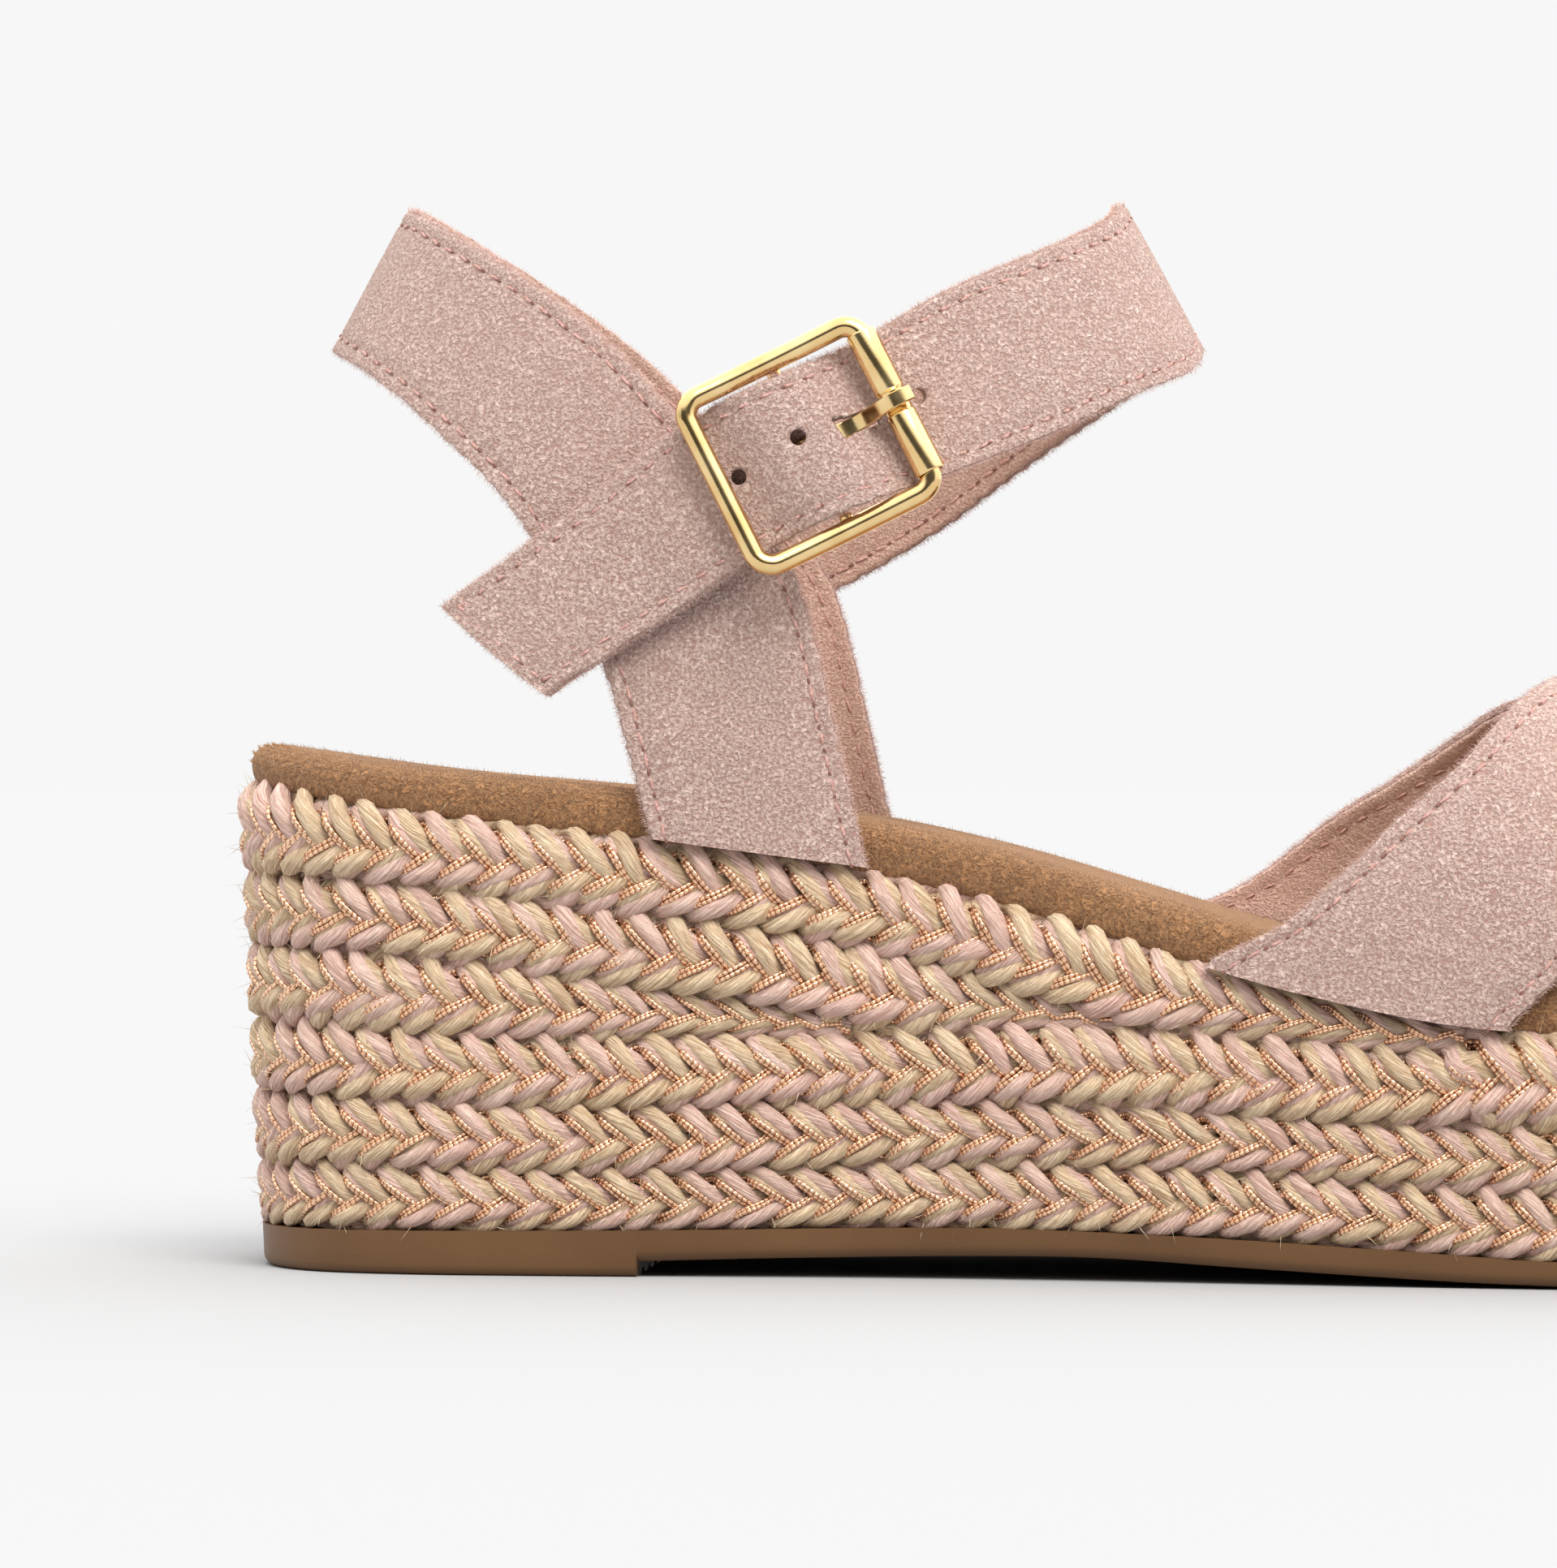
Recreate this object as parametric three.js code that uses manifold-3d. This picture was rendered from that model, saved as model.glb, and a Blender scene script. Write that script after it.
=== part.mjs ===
// Wedge espadrille sandal, right shoe: a braid-wrapped wedge on a rubber sole,
// a padded footbed, crossed vamp bands, a heel strap and a buckled ankle strap.
// Millimetres. +X points to the toe, +Y to the inner side of the foot, +Z up.
// The ground is Z = 0 and the origin is the middle of the shoe's footprint.

import * as THREE from 'three';
import { mergeVertices } from 'three/addons/utils/BufferGeometryUtils.js';
import Module from 'manifold-3d';

const wasm = await Module();
wasm.setup();

// ---------- driving dimensions ----------

const LENGTH = 254;              // heel back to toe tip, at the top of the wall
const HEEL_X = -LENGTH / 2;      // where the wall's back stands
const FOOTPRINT_SHIFT = [0.65, -0.28, 0];   // brings the outer box's middle to the origin
const WALL_LEAN = 2.7;           // how far the wall draws in from heel top to ground
const HEEL_HEIGHT = 61;          // underside of the footbed at the back of the heel
const TOUCH_GAP = 0.3;           // kept between pieces that touch in the real shoe

const BRAID_DEPTH = 4.5;         // thickness of one braid, outward from the core
const BRAID_BULGE = 0.6;         // how far a braid's middle stands proud
const CORE_INSET = 4.9;          // wall face to core

const BOARD_THICKNESS = 2.0;
const FOOTBED_THICKNESS = 7.1;
const FOOTBED_INSET = 2.0;       // wall face to footbed edge
const FOOTBED_REST = 0.45;       // footbed underside above the feather line
const COVER_THICKNESS = 1.0;

const LINING_THICKNESS = 0.7;
const SUEDE_THICKNESS = 1.0;
const LAYER_GAP = 0.25;          // glue line between lining and suede
const SUEDE_START = LINING_THICKNESS + LAYER_GAP;
const STRAP_THICKNESS = SUEDE_START + SUEDE_THICKNESS;

const WIRE_RADIUS = 1.4;         // buckle frame wire
const FRAME_LENGTH = 26;         // outside, along the strap
const FRAME_WIDTH = 25.8;        // outside, across the strap
const FRAME_CORNER = 2.0;        // bend radius of the wire's centre line
const BAR_RADIUS = 0.9;          // centre bar
const ROLLER_RADIUS = 1.9;
const ROLLER_BORE = 1.58;
const ROLLER_LENGTH = 19.4;
const PRONG_WIDTH = 2.2;
const CHAPE_WIDTH = 15;

// Heights of the buckle's pieces above the skin of the ankle.
const BAR_LIFT = 4.8;
const FRAME_LIFT = 7.5;
const SIDE_LIFT = 6.6;
const CHAPE_LIFT = 2.25;
const CHAPE_TAIL_LIFT = 1.2;    // the tail follows the heel strap's curve
const CHAPE_THICKNESS = 0.8;

// ---------- colours ----------

const finish = (colour, roughness, metalness = 0) =>
  new THREE.MeshStandardMaterial({ color: colour, roughness, metalness });

const RUBBER = finish(0x6f5a3f, 0.6);
const CORK = finish(0x9b7653, 0.9);
const BOARD = finish(0x8a6f4e, 0.85);
const FOAM = finish(0xe2d3bd, 0.95);
const MICROSUEDE = finish(0x9a6a3c, 0.9);
const JUTE = finish(0xcbb08f, 0.85);
const SUEDE = finish(0xd9b3ab, 0.95);
const LINING = finish(0xc99a90, 0.9);
const GOLD = finish(0xd9b06a, 0.22, 1);

// ---------- curves ----------

// A smooth line through hand-placed [place, value] points that never overshoots them.
function through(points) {
  const last = points.length - 1;
  const slopes = [];
  for (let i = 0; i < last; i++) {
    slopes.push((points[i + 1][1] - points[i][1]) / (points[i + 1][0] - points[i][0]));
  }
  const tangents = points.map((_, i) => {
    if (i === 0) return slopes[0];
    if (i === last) return slopes[last - 1];
    const before = slopes[i - 1];
    const after = slopes[i];
    return before * after <= 0 ? 0 : (2 * before * after) / (before + after);
  });
  return (place) => {
    const at = THREE.MathUtils.clamp(place, points[0][0], points[last][0]);
    let i = 0;
    while (i < last - 1 && at > points[i + 1][0]) i++;
    const span = points[i + 1][0] - points[i][0];
    const t = (at - points[i][0]) / span;
    const a = points[i][1];
    const b = points[i + 1][1];
    const rise = t * t * (3 - 2 * t);
    const lead = t * (1 - t) * (1 - t) * span * tangents[i];
    const trail = t * t * (t - 1) * span * tangents[i + 1];
    return a + (b - a) * rise + lead + trail;
  };
}

// Heights along the shoe, by distance forward of the heel's back.
const featherLine = through([
  [0, 61.2], [25, 57.1], [52, 54.0], [80, 50.0], [97, 46.2], [118, 40.0],
  [134, 35.3], [157, 30.9], [175, 29.8], [205, 29.0], [230, 29.6], [254, 32.2],
]);
const bottomOfCourse1 = through([
  [0, 50.6], [20, 49.0], [46, 46.0], [65, 43.8], [85, 40.2], [104, 34.9], [116, 31.2], [130, 26],
]);
const bottomOfCourse2 = through([
  [0, 41.2], [20, 40.2], [45, 37.2], [65, 34.6], [84, 30.6], [100, 26],
]);
const topOfCourse4 = through([
  [0, 31.8], [50, 29.6], [85, 30.5], [110, 31.4], [130, 30.2], [148, 28.8], [156, 29.9],
]);
const topOfCourse5 = through([
  [0, 22.6], [50, 21.1], [95, 21.9], [120, 21.4], [150, 19.8], [200, 19.5], [230, 20.4], [254, 24.0],
]);
const topOfCourse6 = through([
  [0, 13.6], [55, 13.1], [95, 14.3], [120, 14.1], [150, 12.2], [200, 11.3], [230, 12.2], [254, 15.8],
]);
const soleTop = through([
  [0, 5.3], [55, 5.8], [96, 6.4], [120, 5.8], [148, 4.4], [170, 3.3], [215, 3.3], [254, 7.6],
]);
const toeSpring = through([[0, 0], [205, 0], [230, 1.0], [254, 4.2]]);

// Below the heel's top the wall draws in towards the ground.
const wallInset = (z) => WALL_LEAN * (1 - z / HEEL_HEIGHT);

// The wall's outline from above, as [forward of the heel, across], outer side first.
const OUTLINE = new THREE.CatmullRomCurve3([
  [0, 0], [3, -14], [11, -23.5], [24, -28.3], [42, -29.8], [62, -30], [84, -30.6], [108, -33.6],
  [134, -38.2], [160, -42.3], [184, -44], [206, -42.6], [226, -36.5], [242, -25], [251, -10],
  [254, 6], [250, 22], [240, 33.5], [224, 40.5], [204, 43.8], [182, 43.6], [158, 40.2],
  [132, 35], [108, 31.6], [84, 30.2], [62, 30], [42, 29.8], [24, 28.3], [11, 23.5], [3, 14],
].map(([forward, across]) => new THREE.Vector3(forward, across, 0)), true, 'centripetal');

// A point on the outline, moved inward, as a forward and across pair.
function outlinePoint(turn, inward) {
  const u = ((turn % 1) + 1) % 1;
  const point = OUTLINE.getPointAt(u);
  const tangent = OUTLINE.getTangentAt(u);
  return [point.x - tangent.y * inward, point.y + tangent.x * inward];
}

// The turn at which one side of the outline, moved inward, passes a distance forward.
function turnAt(forward, side, inward = 0) {
  let low = 0;
  let high = 0.45;
  for (let i = 0; i < 30; i++) {
    const middle = (low + high) / 2;
    if (outlinePoint(side * middle, inward)[0] < forward) low = middle;
    else high = middle;
  }
  return side * low;
}

// ---------- solids from loops of points ----------

// Joins a row of equal loops into one closed solid. The row either closes on
// itself, or its two ends are capped with strips between the two halves of a loop.
function solidFromLoops(loops, closed = false) {
  const size = loops[0].length;
  const positions = loops.flat().flatMap((point) => [point.x, point.y, point.z]);
  const index = [];
  const rows = closed ? loops.length : loops.length - 1;
  for (let row = 0; row < rows; row++) {
    const here = row * size;
    const next = ((row + 1) % loops.length) * size;
    for (let i = 0; i < size; i++) {
      const j = (i + 1) % size;
      index.push(here + i, here + j, next + j, here + i, next + j, next + i);
    }
  }
  if (!closed) {
    addCap(index, 0, size, true);
    addCap(index, (loops.length - 1) * size, size, false);
  }
  const geometry = new THREE.BufferGeometry();
  geometry.setAttribute('position', new THREE.Float32BufferAttribute(positions, 3));
  geometry.setIndex(index);
  return facingOut(geometry);
}

function addCap(index, start, size, reversed) {
  for (let i = 0; i < Math.floor((size - 1) / 2); i++) {
    const a = start + i;
    const b = start + i + 1;
    const c = start + size - 2 - i;
    const d = start + size - 1 - i;
    if (reversed) index.push(a, c, b, a, d, c);
    else index.push(a, b, c, a, c, d);
  }
}

// Turns every face over when the solid's volume comes out negative.
function facingOut(geometry) {
  const position = geometry.getAttribute('position');
  const index = Array.from(geometry.getIndex().array);
  const [a, b, c] = [new THREE.Vector3(), new THREE.Vector3(), new THREE.Vector3()];
  let volume = 0;
  const kept = [];
  for (let i = 0; i < index.length; i += 3) {
    a.fromBufferAttribute(position, index[i]);
    b.fromBufferAttribute(position, index[i + 1]);
    c.fromBufferAttribute(position, index[i + 2]);
    volume += a.dot(b.clone().cross(c));
    kept.push([index[i], index[i + 1], index[i + 2]]);
  }
  if (volume < 0) kept.forEach((face) => face.reverse());
  geometry.setIndex(kept.flat().filter(Number.isInteger));
  geometry.computeVertexNormals();
  return geometry;
}

function toManifold(geometry) {
  const bare = geometry.clone();
  bare.deleteAttribute('normal');
  bare.deleteAttribute('uv');
  const merged = mergeVertices(bare, 1e-4);
  const vertProperties = new Float32Array(merged.getAttribute('position').array);
  const triVerts = new Uint32Array(merged.getIndex().array);
  return new wasm.Manifold(new wasm.Mesh({ numProp: 3, vertProperties, triVerts }));
}

function fromManifold(solid) {
  const mesh = solid.getMesh();
  const geometry = new THREE.BufferGeometry();
  geometry.setAttribute('position', new THREE.Float32BufferAttribute(mesh.vertProperties, 3));
  geometry.setIndex(Array.from(mesh.triVerts));
  geometry.computeVertexNormals();
  return geometry;
}

const cut = (geometry, tool) => fromManifold(toManifold(geometry).subtract(toManifold(tool)));
const join = (geometry, other) => fromManifold(toManifold(geometry).add(toManifold(other)));

// ---------- wedge and sole ----------

const RING_STEPS = 96;

// A point at an inset from the leaning wall, at a height that follows the shoe.
function wallPoint(turn, inward, height) {
  const z = height(outlinePoint(turn, inward)[0]);
  const [forward, across] = outlinePoint(turn, inward + wallInset(z));
  return new THREE.Vector3(HEEL_X + forward, across, z);
}

// One loop round the shoe.
function ring(inward, height) {
  return Array.from({ length: RING_STEPS }, (_, i) =>
    wallPoint((i + 0.5) / RING_STEPS, inward, height));
}

const raised = (height, by) => (forward) => height(forward) + by;

// The sole is one moulding: a thick heel pad, a raised arch and a thin forefoot.
function makeOutsole() {
  const edge = 0.3;
  const moulding = solidFromLoops([
    ring(edge + 1.4, toeSpring),
    ring(edge + 0.4, raised(toeSpring, 0.6)),
    ring(edge, raised(toeSpring, 1.8)),
    ring(edge, soleTop),
  ]);
  const arch = new THREE.Shape();
  arch.moveTo(HEEL_X + 53.5, -3);
  arch.lineTo(HEEL_X + 54.2, 1.9);
  arch.splineThru([[75, 2.4], [105, 3.0], [130, 1.9], [155, 0.7], [178, -0.2]].map(
    ([forward, z]) => new THREE.Vector2(HEEL_X + forward, z)));
  arch.lineTo(HEEL_X + 178, -3);
  const tool = new THREE.ExtrudeGeometry(arch, { depth: 120, bevelEnabled: false, curveSegments: 5 });
  tool.rotateX(Math.PI / 2);
  tool.translate(0, 60, 0);
  return cut(moulding, tool);
}

function makeWedgeCore() {
  return solidFromLoops([
    ring(CORE_INSET, raised(soleTop, TOUCH_GAP)),
    ring(CORE_INSET, raised(featherLine, -BOARD_THICKNESS - 0.2 - TOUCH_GAP)),
  ]);
}

function makeInsoleBoard() {
  return solidFromLoops([
    ring(CORE_INSET, raised(featherLine, -BOARD_THICKNESS - 0.2)),
    ring(CORE_INSET, raised(featherLine, -0.2)),
  ]);
}

function makeFootbedFoam() {
  const edge = FOOTBED_INSET + COVER_THICKNESS + TOUCH_GAP;
  const top = FOOTBED_THICKNESS - COVER_THICKNESS - TOUCH_GAP;
  return solidFromLoops([
    ring(edge, raised(featherLine, FOOTBED_REST)),
    ring(edge, raised(featherLine, 3.8)),
    ring(edge + 0.5, raised(featherLine, top - 0.9)),
    ring(edge + 1.6, raised(featherLine, top)),
  ]);
}

// The cover is a tray turned upside down over the foam, open underneath.
function makeFootbedCover() {
  const inner = FOOTBED_INSET + COVER_THICKNESS;
  const ceiling = FOOTBED_THICKNESS - COVER_THICKNESS;
  return solidFromLoops([
    ring(inner + 1.6, raised(featherLine, ceiling)),
    ring(inner + 0.5, raised(featherLine, ceiling - 0.9)),
    ring(inner, raised(featherLine, 3.8)),
    ring(inner, raised(featherLine, FOOTBED_REST)),
    ring(FOOTBED_INSET, raised(featherLine, FOOTBED_REST)),
    ring(FOOTBED_INSET, raised(featherLine, 4.2)),
    ring(FOOTBED_INSET + 0.5, raised(featherLine, 6.0)),
    ring(FOOTBED_INSET + 1.5, raised(featherLine, 6.8)),
    ring(FOOTBED_INSET + 3.2, raised(featherLine, FOOTBED_THICKNESS)),
  ]);
}

// ---------- braid courses ----------

// The five corners of a braid's section at one turn round the wall.
function braidSection(turn, bottom, top) {
  const lowAt = (forward) => bottom(forward) + TOUCH_GAP / 2;
  const highAt = (forward) => Math.max(top(forward) - TOUCH_GAP / 2, lowAt(forward) + 0.4);
  const middleAt = (forward) => (lowAt(forward) + highAt(forward)) / 2;
  return [
    [BRAID_DEPTH, lowAt],
    [0.5, lowAt],
    [-BRAID_BULGE, middleAt],
    [0.5, highAt],
    [BRAID_DEPTH, highAt],
  ].map(([inward, height]) => wallPoint(turn, inward, height));
}

// Courses 4 to 6 run all the way round the shoe.
function makeFullCourse(bottom, top) {
  const sections = [];
  for (let i = 0; i < RING_STEPS; i++) sections.push(braidSection(i / RING_STEPS, bottom, top));
  return solidFromLoops(sections, true);
}

// Courses 1 to 3 wrap the heel and taper out on both sides.
function makeHeelCourse(bottom, top, reach) {
  const steps = 72;
  const start = turnAt(reach, -1);
  const end = turnAt(reach, 1);
  const sections = [];
  for (let i = 0; i <= steps; i++) {
    sections.push(braidSection(THREE.MathUtils.lerp(start, end, i / steps), bottom, top));
  }
  return solidFromLoops(sections);
}

const higher = (a, b) => (forward) => Math.max(a(forward), b(forward));
const topOfBraid = raised(featherLine, -0.15);
const topOfForefoot = (forward) => (forward < 156 ? topOfCourse4(forward) : topOfBraid(forward));

// ---------- straps round the ankle ----------

const ANKLE_X = -59.4;
const ankleHalfLength = (z) => 54 - 0.55 * (z - 117);
const ankleHalfWidth = (z) => 28.9 - 0.0018 * Math.max(0, z - 70) ** 2;

// A point round the ankle: 0 degrees is the front, positive angles the outer side.
function onAnkle(degrees, z, lift) {
  const angle = THREE.MathUtils.degToRad(degrees);
  return new THREE.Vector3(
    ANKLE_X + (ankleHalfLength(z) + lift) * Math.cos(angle),
    -(ankleHalfWidth(z) + lift) * Math.sin(angle),
    z,
  );
}

// Stations of a strap: [lower angle, lower z, upper angle, upper z].
function strapPath(stations, lift = () => 0) {
  const edges = [0, 1, 2, 3].map((column) =>
    through(stations.map((station, i) => [i, station[column]])));
  return [...edges, lift];
}

// One layer of a strap as a solid band, between two heights above the skin.
function strapLayer(path, from, to, steps, start, thickness) {
  const [lowAngle, lowZ, highAngle, highZ, lift] = path;
  const rows = 3;
  const sections = [];
  for (let i = 0; i <= steps; i++) {
    const t = THREE.MathUtils.lerp(from, to, i / steps);
    const inner = [];
    const outer = [];
    for (let row = 0; row <= rows; row++) {
      const angle = THREE.MathUtils.lerp(lowAngle(t), highAngle(t), row / rows);
      const z = THREE.MathUtils.lerp(lowZ(t), highZ(t), row / rows);
      inner.push(onAnkle(angle, z, lift(t) + start));
      outer.push(onAnkle(angle, z, lift(t) + start + thickness));
    }
    sections.push([...inner, ...outer.reverse()]);
  }
  return solidFromLoops(sections);
}

// The heel strap: one band from the outer footbed edge, round the back, to the inner edge.
const HEEL_STRAP_HALF = [
  [97.6, 54.3, 81.6, 50.8],
  [100.3, 65.7, 83.8, 69.7],
  [102.9, 74.7, 85.4, 85.0],
  [107.9, 84.5, 92.0, 98.5],
  [118.0, 97.1, 108.0, 115.5],
  [129.8, 105.2, 125.0, 124.6],
  [142.0, 110.8, 142.0, 130.0],
  [160.0, 115.2, 161.0, 133.4],
];
const HEEL_STRAP_BACK = [180, 116.9, 180, 134.3];
const otherSide = ([low, lowZ, high, highZ]) => [360 - low, lowZ, 360 - high, highZ];
const HEEL_STRAP = strapPath([
  ...HEEL_STRAP_HALF,
  HEEL_STRAP_BACK,
  ...HEEL_STRAP_HALF.slice().reverse().map(otherSide),
]);
const HEEL_STRAP_END = 2 * HEEL_STRAP_HALF.length;

// The ankle strap lies on the heel strap at both ends. In between it dips under the
// roller (station 10), climbs over the centre bar (11) and dips under the rear bar (12).
const ANKLE_STRAP_LIFT = through([
  [0, 2.4], [2, 2.3], [4, 2.0], [8, 2.0], [9.4, 2.6], [10.15, 3.0], [10.8, 7.0], [11, 7.2],
  [11.2, 7.0], [11.86, 3.8], [12.4, 3.6], [13.2, 2.6], [15, 2.5],
]);

// The ankle strap: sewn on the inner side, round the front, through the buckle to its tip.
const ANKLE_STRAP = strapPath([
  [-92.0, 82.5, -103.5, 97.6],
  [-83.3, 88.0, -93.0, 103.6],
  [-73.5, 94.5, -83.5, 109.6],
  [-61.5, 102.4, -70.0, 117.2],
  [-46.0, 109.5, -54.0, 124.6],
  [-24.0, 115.4, -29.0, 131.0],
  [0, 116.8, 0, 133.4],
  [20.0, 113.3, 24.0, 130.4],
  [38.0, 110.0, 45.0, 127.0],
  [53.5, 105.0, 62.0, 121.6],
  [68.0, 99.6, 76.5, 114.5],
  [79.4, 95.0, 87.3, 109.4],
  [88.5, 89.2, 97.0, 103.8],
  [96.4, 82.3, 106.4, 96.2],
  [102.1, 77.1, 113.4, 89.7],
  [107.4, 72.0, 119.9, 83.2],
], ANKLE_STRAP_LIFT);
const TIP_HINGE = 12.55;         // station where the free tip starts, behind the buckle
const TIP_GAP = 0.03;            // half the slit at the hinge, in stations
const STRAP_TIP = 15;

// ---------- vamp bands ----------

const VAMP_APEX = through([[-20, 106], [20, 86], [42, 75], [56, 67.5], [72, 60.5], [88, 55], [104, 51]]);
const UNDER_BAND_DROP = 2.35;    // the under band lies this much inside the over band
const BAND_REST = 0.7;           // band feet above the feather line
const BAND_CLEARANCE = 1.0;      // band feet outside the footbed's lower edge

// The vamp's arch: -90 degrees is the outer footbed edge, 90 the inner one.
function onVamp(degrees, x, lift) {
  const angle = THREE.MathUtils.degToRad(degrees);
  const side = degrees < 0 ? 1 : -1;
  const base = featherLine(x - HEEL_X);
  const inward = wallInset(base) + FOOTBED_INSET - BAND_CLEARANCE;
  const [, edge] = outlinePoint(turnAt(x - HEEL_X, side, inward), inward);
  const reach = Math.abs(edge) + lift;
  const rise = VAMP_APEX(x) - STRAP_THICKNESS + lift - base;
  return new THREE.Vector3(
    x,
    Math.sign(degrees) * reach * Math.abs(Math.sin(angle)) ** 0.75,
    base + BAND_REST + (rise - BAND_REST) * Math.max(0, Math.cos(angle)) ** 0.9,
  );
}

// How far the under band is drawn in: fully where the bands cross, not at all at its feet.
const underBandLift = (degrees) =>
  -UNDER_BAND_DROP * THREE.MathUtils.smoothstep(90 - Math.abs(degrees), 9, 34);

// A band of the vamp between its rear and front edges, given as x by angle.
function vampLayer(rearEdge, frontEdge, liftAt, start, thickness) {
  const steps = 30;
  const rows = 4;
  const sections = [];
  for (let i = 0; i <= steps; i++) {
    const degrees = THREE.MathUtils.lerp(-90, 90, i / steps);
    const inner = [];
    const outer = [];
    for (let row = 0; row <= rows; row++) {
      const x = THREE.MathUtils.lerp(rearEdge(degrees), frontEdge(degrees), row / rows);
      inner.push(onVamp(degrees, x, liftAt(degrees) + start));
      outer.push(onVamp(degrees, x, liftAt(degrees) + start + thickness));
    }
    sections.push([...inner, ...outer.reverse()]);
  }
  return solidFromLoops(sections);
}

// The over band runs from the outer rear to the inner front.
const OVER_REAR = through([
  [-90, -3.3], [-83, 6.8], [-75, 13.9], [-64, 22.1], [-52, 29.7], [-38, 35.3], [-20, 40],
  [0, 44], [30, 52], [60, 62], [90, 72],
]);
const OVER_FRONT = through([
  [-90, 33.5], [-83, 39.5], [-70, 48], [-50, 57], [-30, 65], [0, 75], [30, 83], [60, 91], [90, 100],
]);
// The under band runs from the inner rear to the outer front.
const UNDER_REAR = through([
  [-90, 72], [-60, 61], [-30, 51], [0, 43], [16, 38.8], [30, 33.6], [42, 28.6], [52, 23.4],
  [60, 18.1], [67, 12.8], [74, 7.4], [81, 1], [90, -12],
]);
const UNDER_FRONT = through([
  [-90, 100], [-60, 91], [-30, 82], [0, 73], [30, 63], [50, 54], [70, 44], [83, 35], [90, 29],
]);

// ---------- buckle ----------

// The buckle's own axes: along the strap, across it and away from the ankle.
const BUCKLE_SLOPE = THREE.MathUtils.degToRad(27);
const BUCKLE_SEAT = onAnkle(83, 101.8, 0);
const BUCKLE_OUT = new THREE.Vector3(0.075, -1, 0.13).normalize();
const BUCKLE_ALONG = new THREE.Vector3(Math.cos(BUCKLE_SLOPE), 0, Math.sin(BUCKLE_SLOPE));
BUCKLE_ALONG.addScaledVector(BUCKLE_OUT, -BUCKLE_ALONG.dot(BUCKLE_OUT)).normalize();
const BUCKLE_ACROSS = new THREE.Vector3().crossVectors(BUCKLE_OUT, BUCKLE_ALONG);
const BUCKLE_PLACE = new THREE.Matrix4()
  .makeBasis(BUCKLE_ALONG, BUCKLE_ACROSS, BUCKLE_OUT)
  .setPosition(BUCKLE_SEAT);

const BAR_SPACING = FRAME_LENGTH / 2 - WIRE_RADIUS;   // centre bar to the outer bars
const SIDE_SPACING = FRAME_WIDTH / 2 - WIRE_RADIUS;

// A rod across the strap, centred on the buckle's middle line.
function crossRod(radius, length, along, lift, sides) {
  const rod = new THREE.CylinderGeometry(radius, radius, length, sides);
  return rod.translate(along, 0, lift);
}

// The frame is one bent wire with the centre bar brazed between its sides.
function makeBuckleFrame() {
  const outline = [];
  const cornerSteps = 4;
  [[1, 1], [-1, 1], [-1, -1], [1, -1]].forEach(([along, across], corner) => {
    for (let i = 0; i <= cornerSteps; i++) {
      const angle = (corner + i / cornerSteps) * Math.PI / 2;
      outline.push([
        along * (BAR_SPACING - FRAME_CORNER) + FRAME_CORNER * Math.cos(angle),
        across * (SIDE_SPACING - FRAME_CORNER) + FRAME_CORNER * Math.sin(angle),
        Math.cos(angle),
        Math.sin(angle),
      ]);
    }
    if (corner === 0) outline.push([0, SIDE_SPACING, 0, 1]);
    if (corner === 2) outline.push([0, -SIDE_SPACING, 0, -1]);
  });
  const sides = 12;
  const loops = outline.map(([along, across, outAlong, outAcross]) => {
    const bow = 1 - (along / BAR_SPACING) ** 2;
    const lift = FRAME_LIFT + (SIDE_LIFT - FRAME_LIFT) * Math.max(0, bow);
    const loop = [];
    for (let i = 0; i < sides; i++) {
      const angle = (i / sides) * 2 * Math.PI;
      const reach = WIRE_RADIUS * Math.cos(angle);
      loop.push(new THREE.Vector3(
        along + outAlong * reach,
        across + outAcross * reach,
        lift + WIRE_RADIUS * Math.sin(angle),
      ));
    }
    return loop;
  });
  const bar = crossRod(BAR_RADIUS, 2 * SIDE_SPACING, 0, BAR_LIFT, 10);
  return join(solidFromLoops(loops, true), bar);
}

// The roller turns on the front bar and is waisted where the prong rests on it.
function makeRoller() {
  const half = ROLLER_LENGTH / 2;
  const waist = ROLLER_RADIUS - 0.18;
  const profile = [
    [ROLLER_BORE, -half], [ROLLER_RADIUS, -half], [ROLLER_RADIUS, -1.6], [waist, -1.4],
    [waist, 1.4], [ROLLER_RADIUS, 1.6], [ROLLER_RADIUS, half], [ROLLER_BORE, half],
    [ROLLER_BORE, -half],
  ].map(([radius, along]) => new THREE.Vector2(radius, along));
  return new THREE.LatheGeometry(profile, 20).translate(BAR_SPACING, 0, FRAME_LIFT);
}

// A flat outline drawn along the strap and away from the ankle, given a width across it.
function acrossStrap(outline, width, curveSegments = 12) {
  const solid = new THREE.ExtrudeGeometry(outline, {
    depth: width, bevelEnabled: false, curveSegments,
  });
  solid.rotateX(Math.PI / 2);
  return solid.translate(0, width / 2, 0);
}

function eyelet(radius) {
  const hole = new THREE.Path();
  hole.absarc(0, BAR_LIFT, radius, 0, 2 * Math.PI, true);
  return hole;
}

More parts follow.
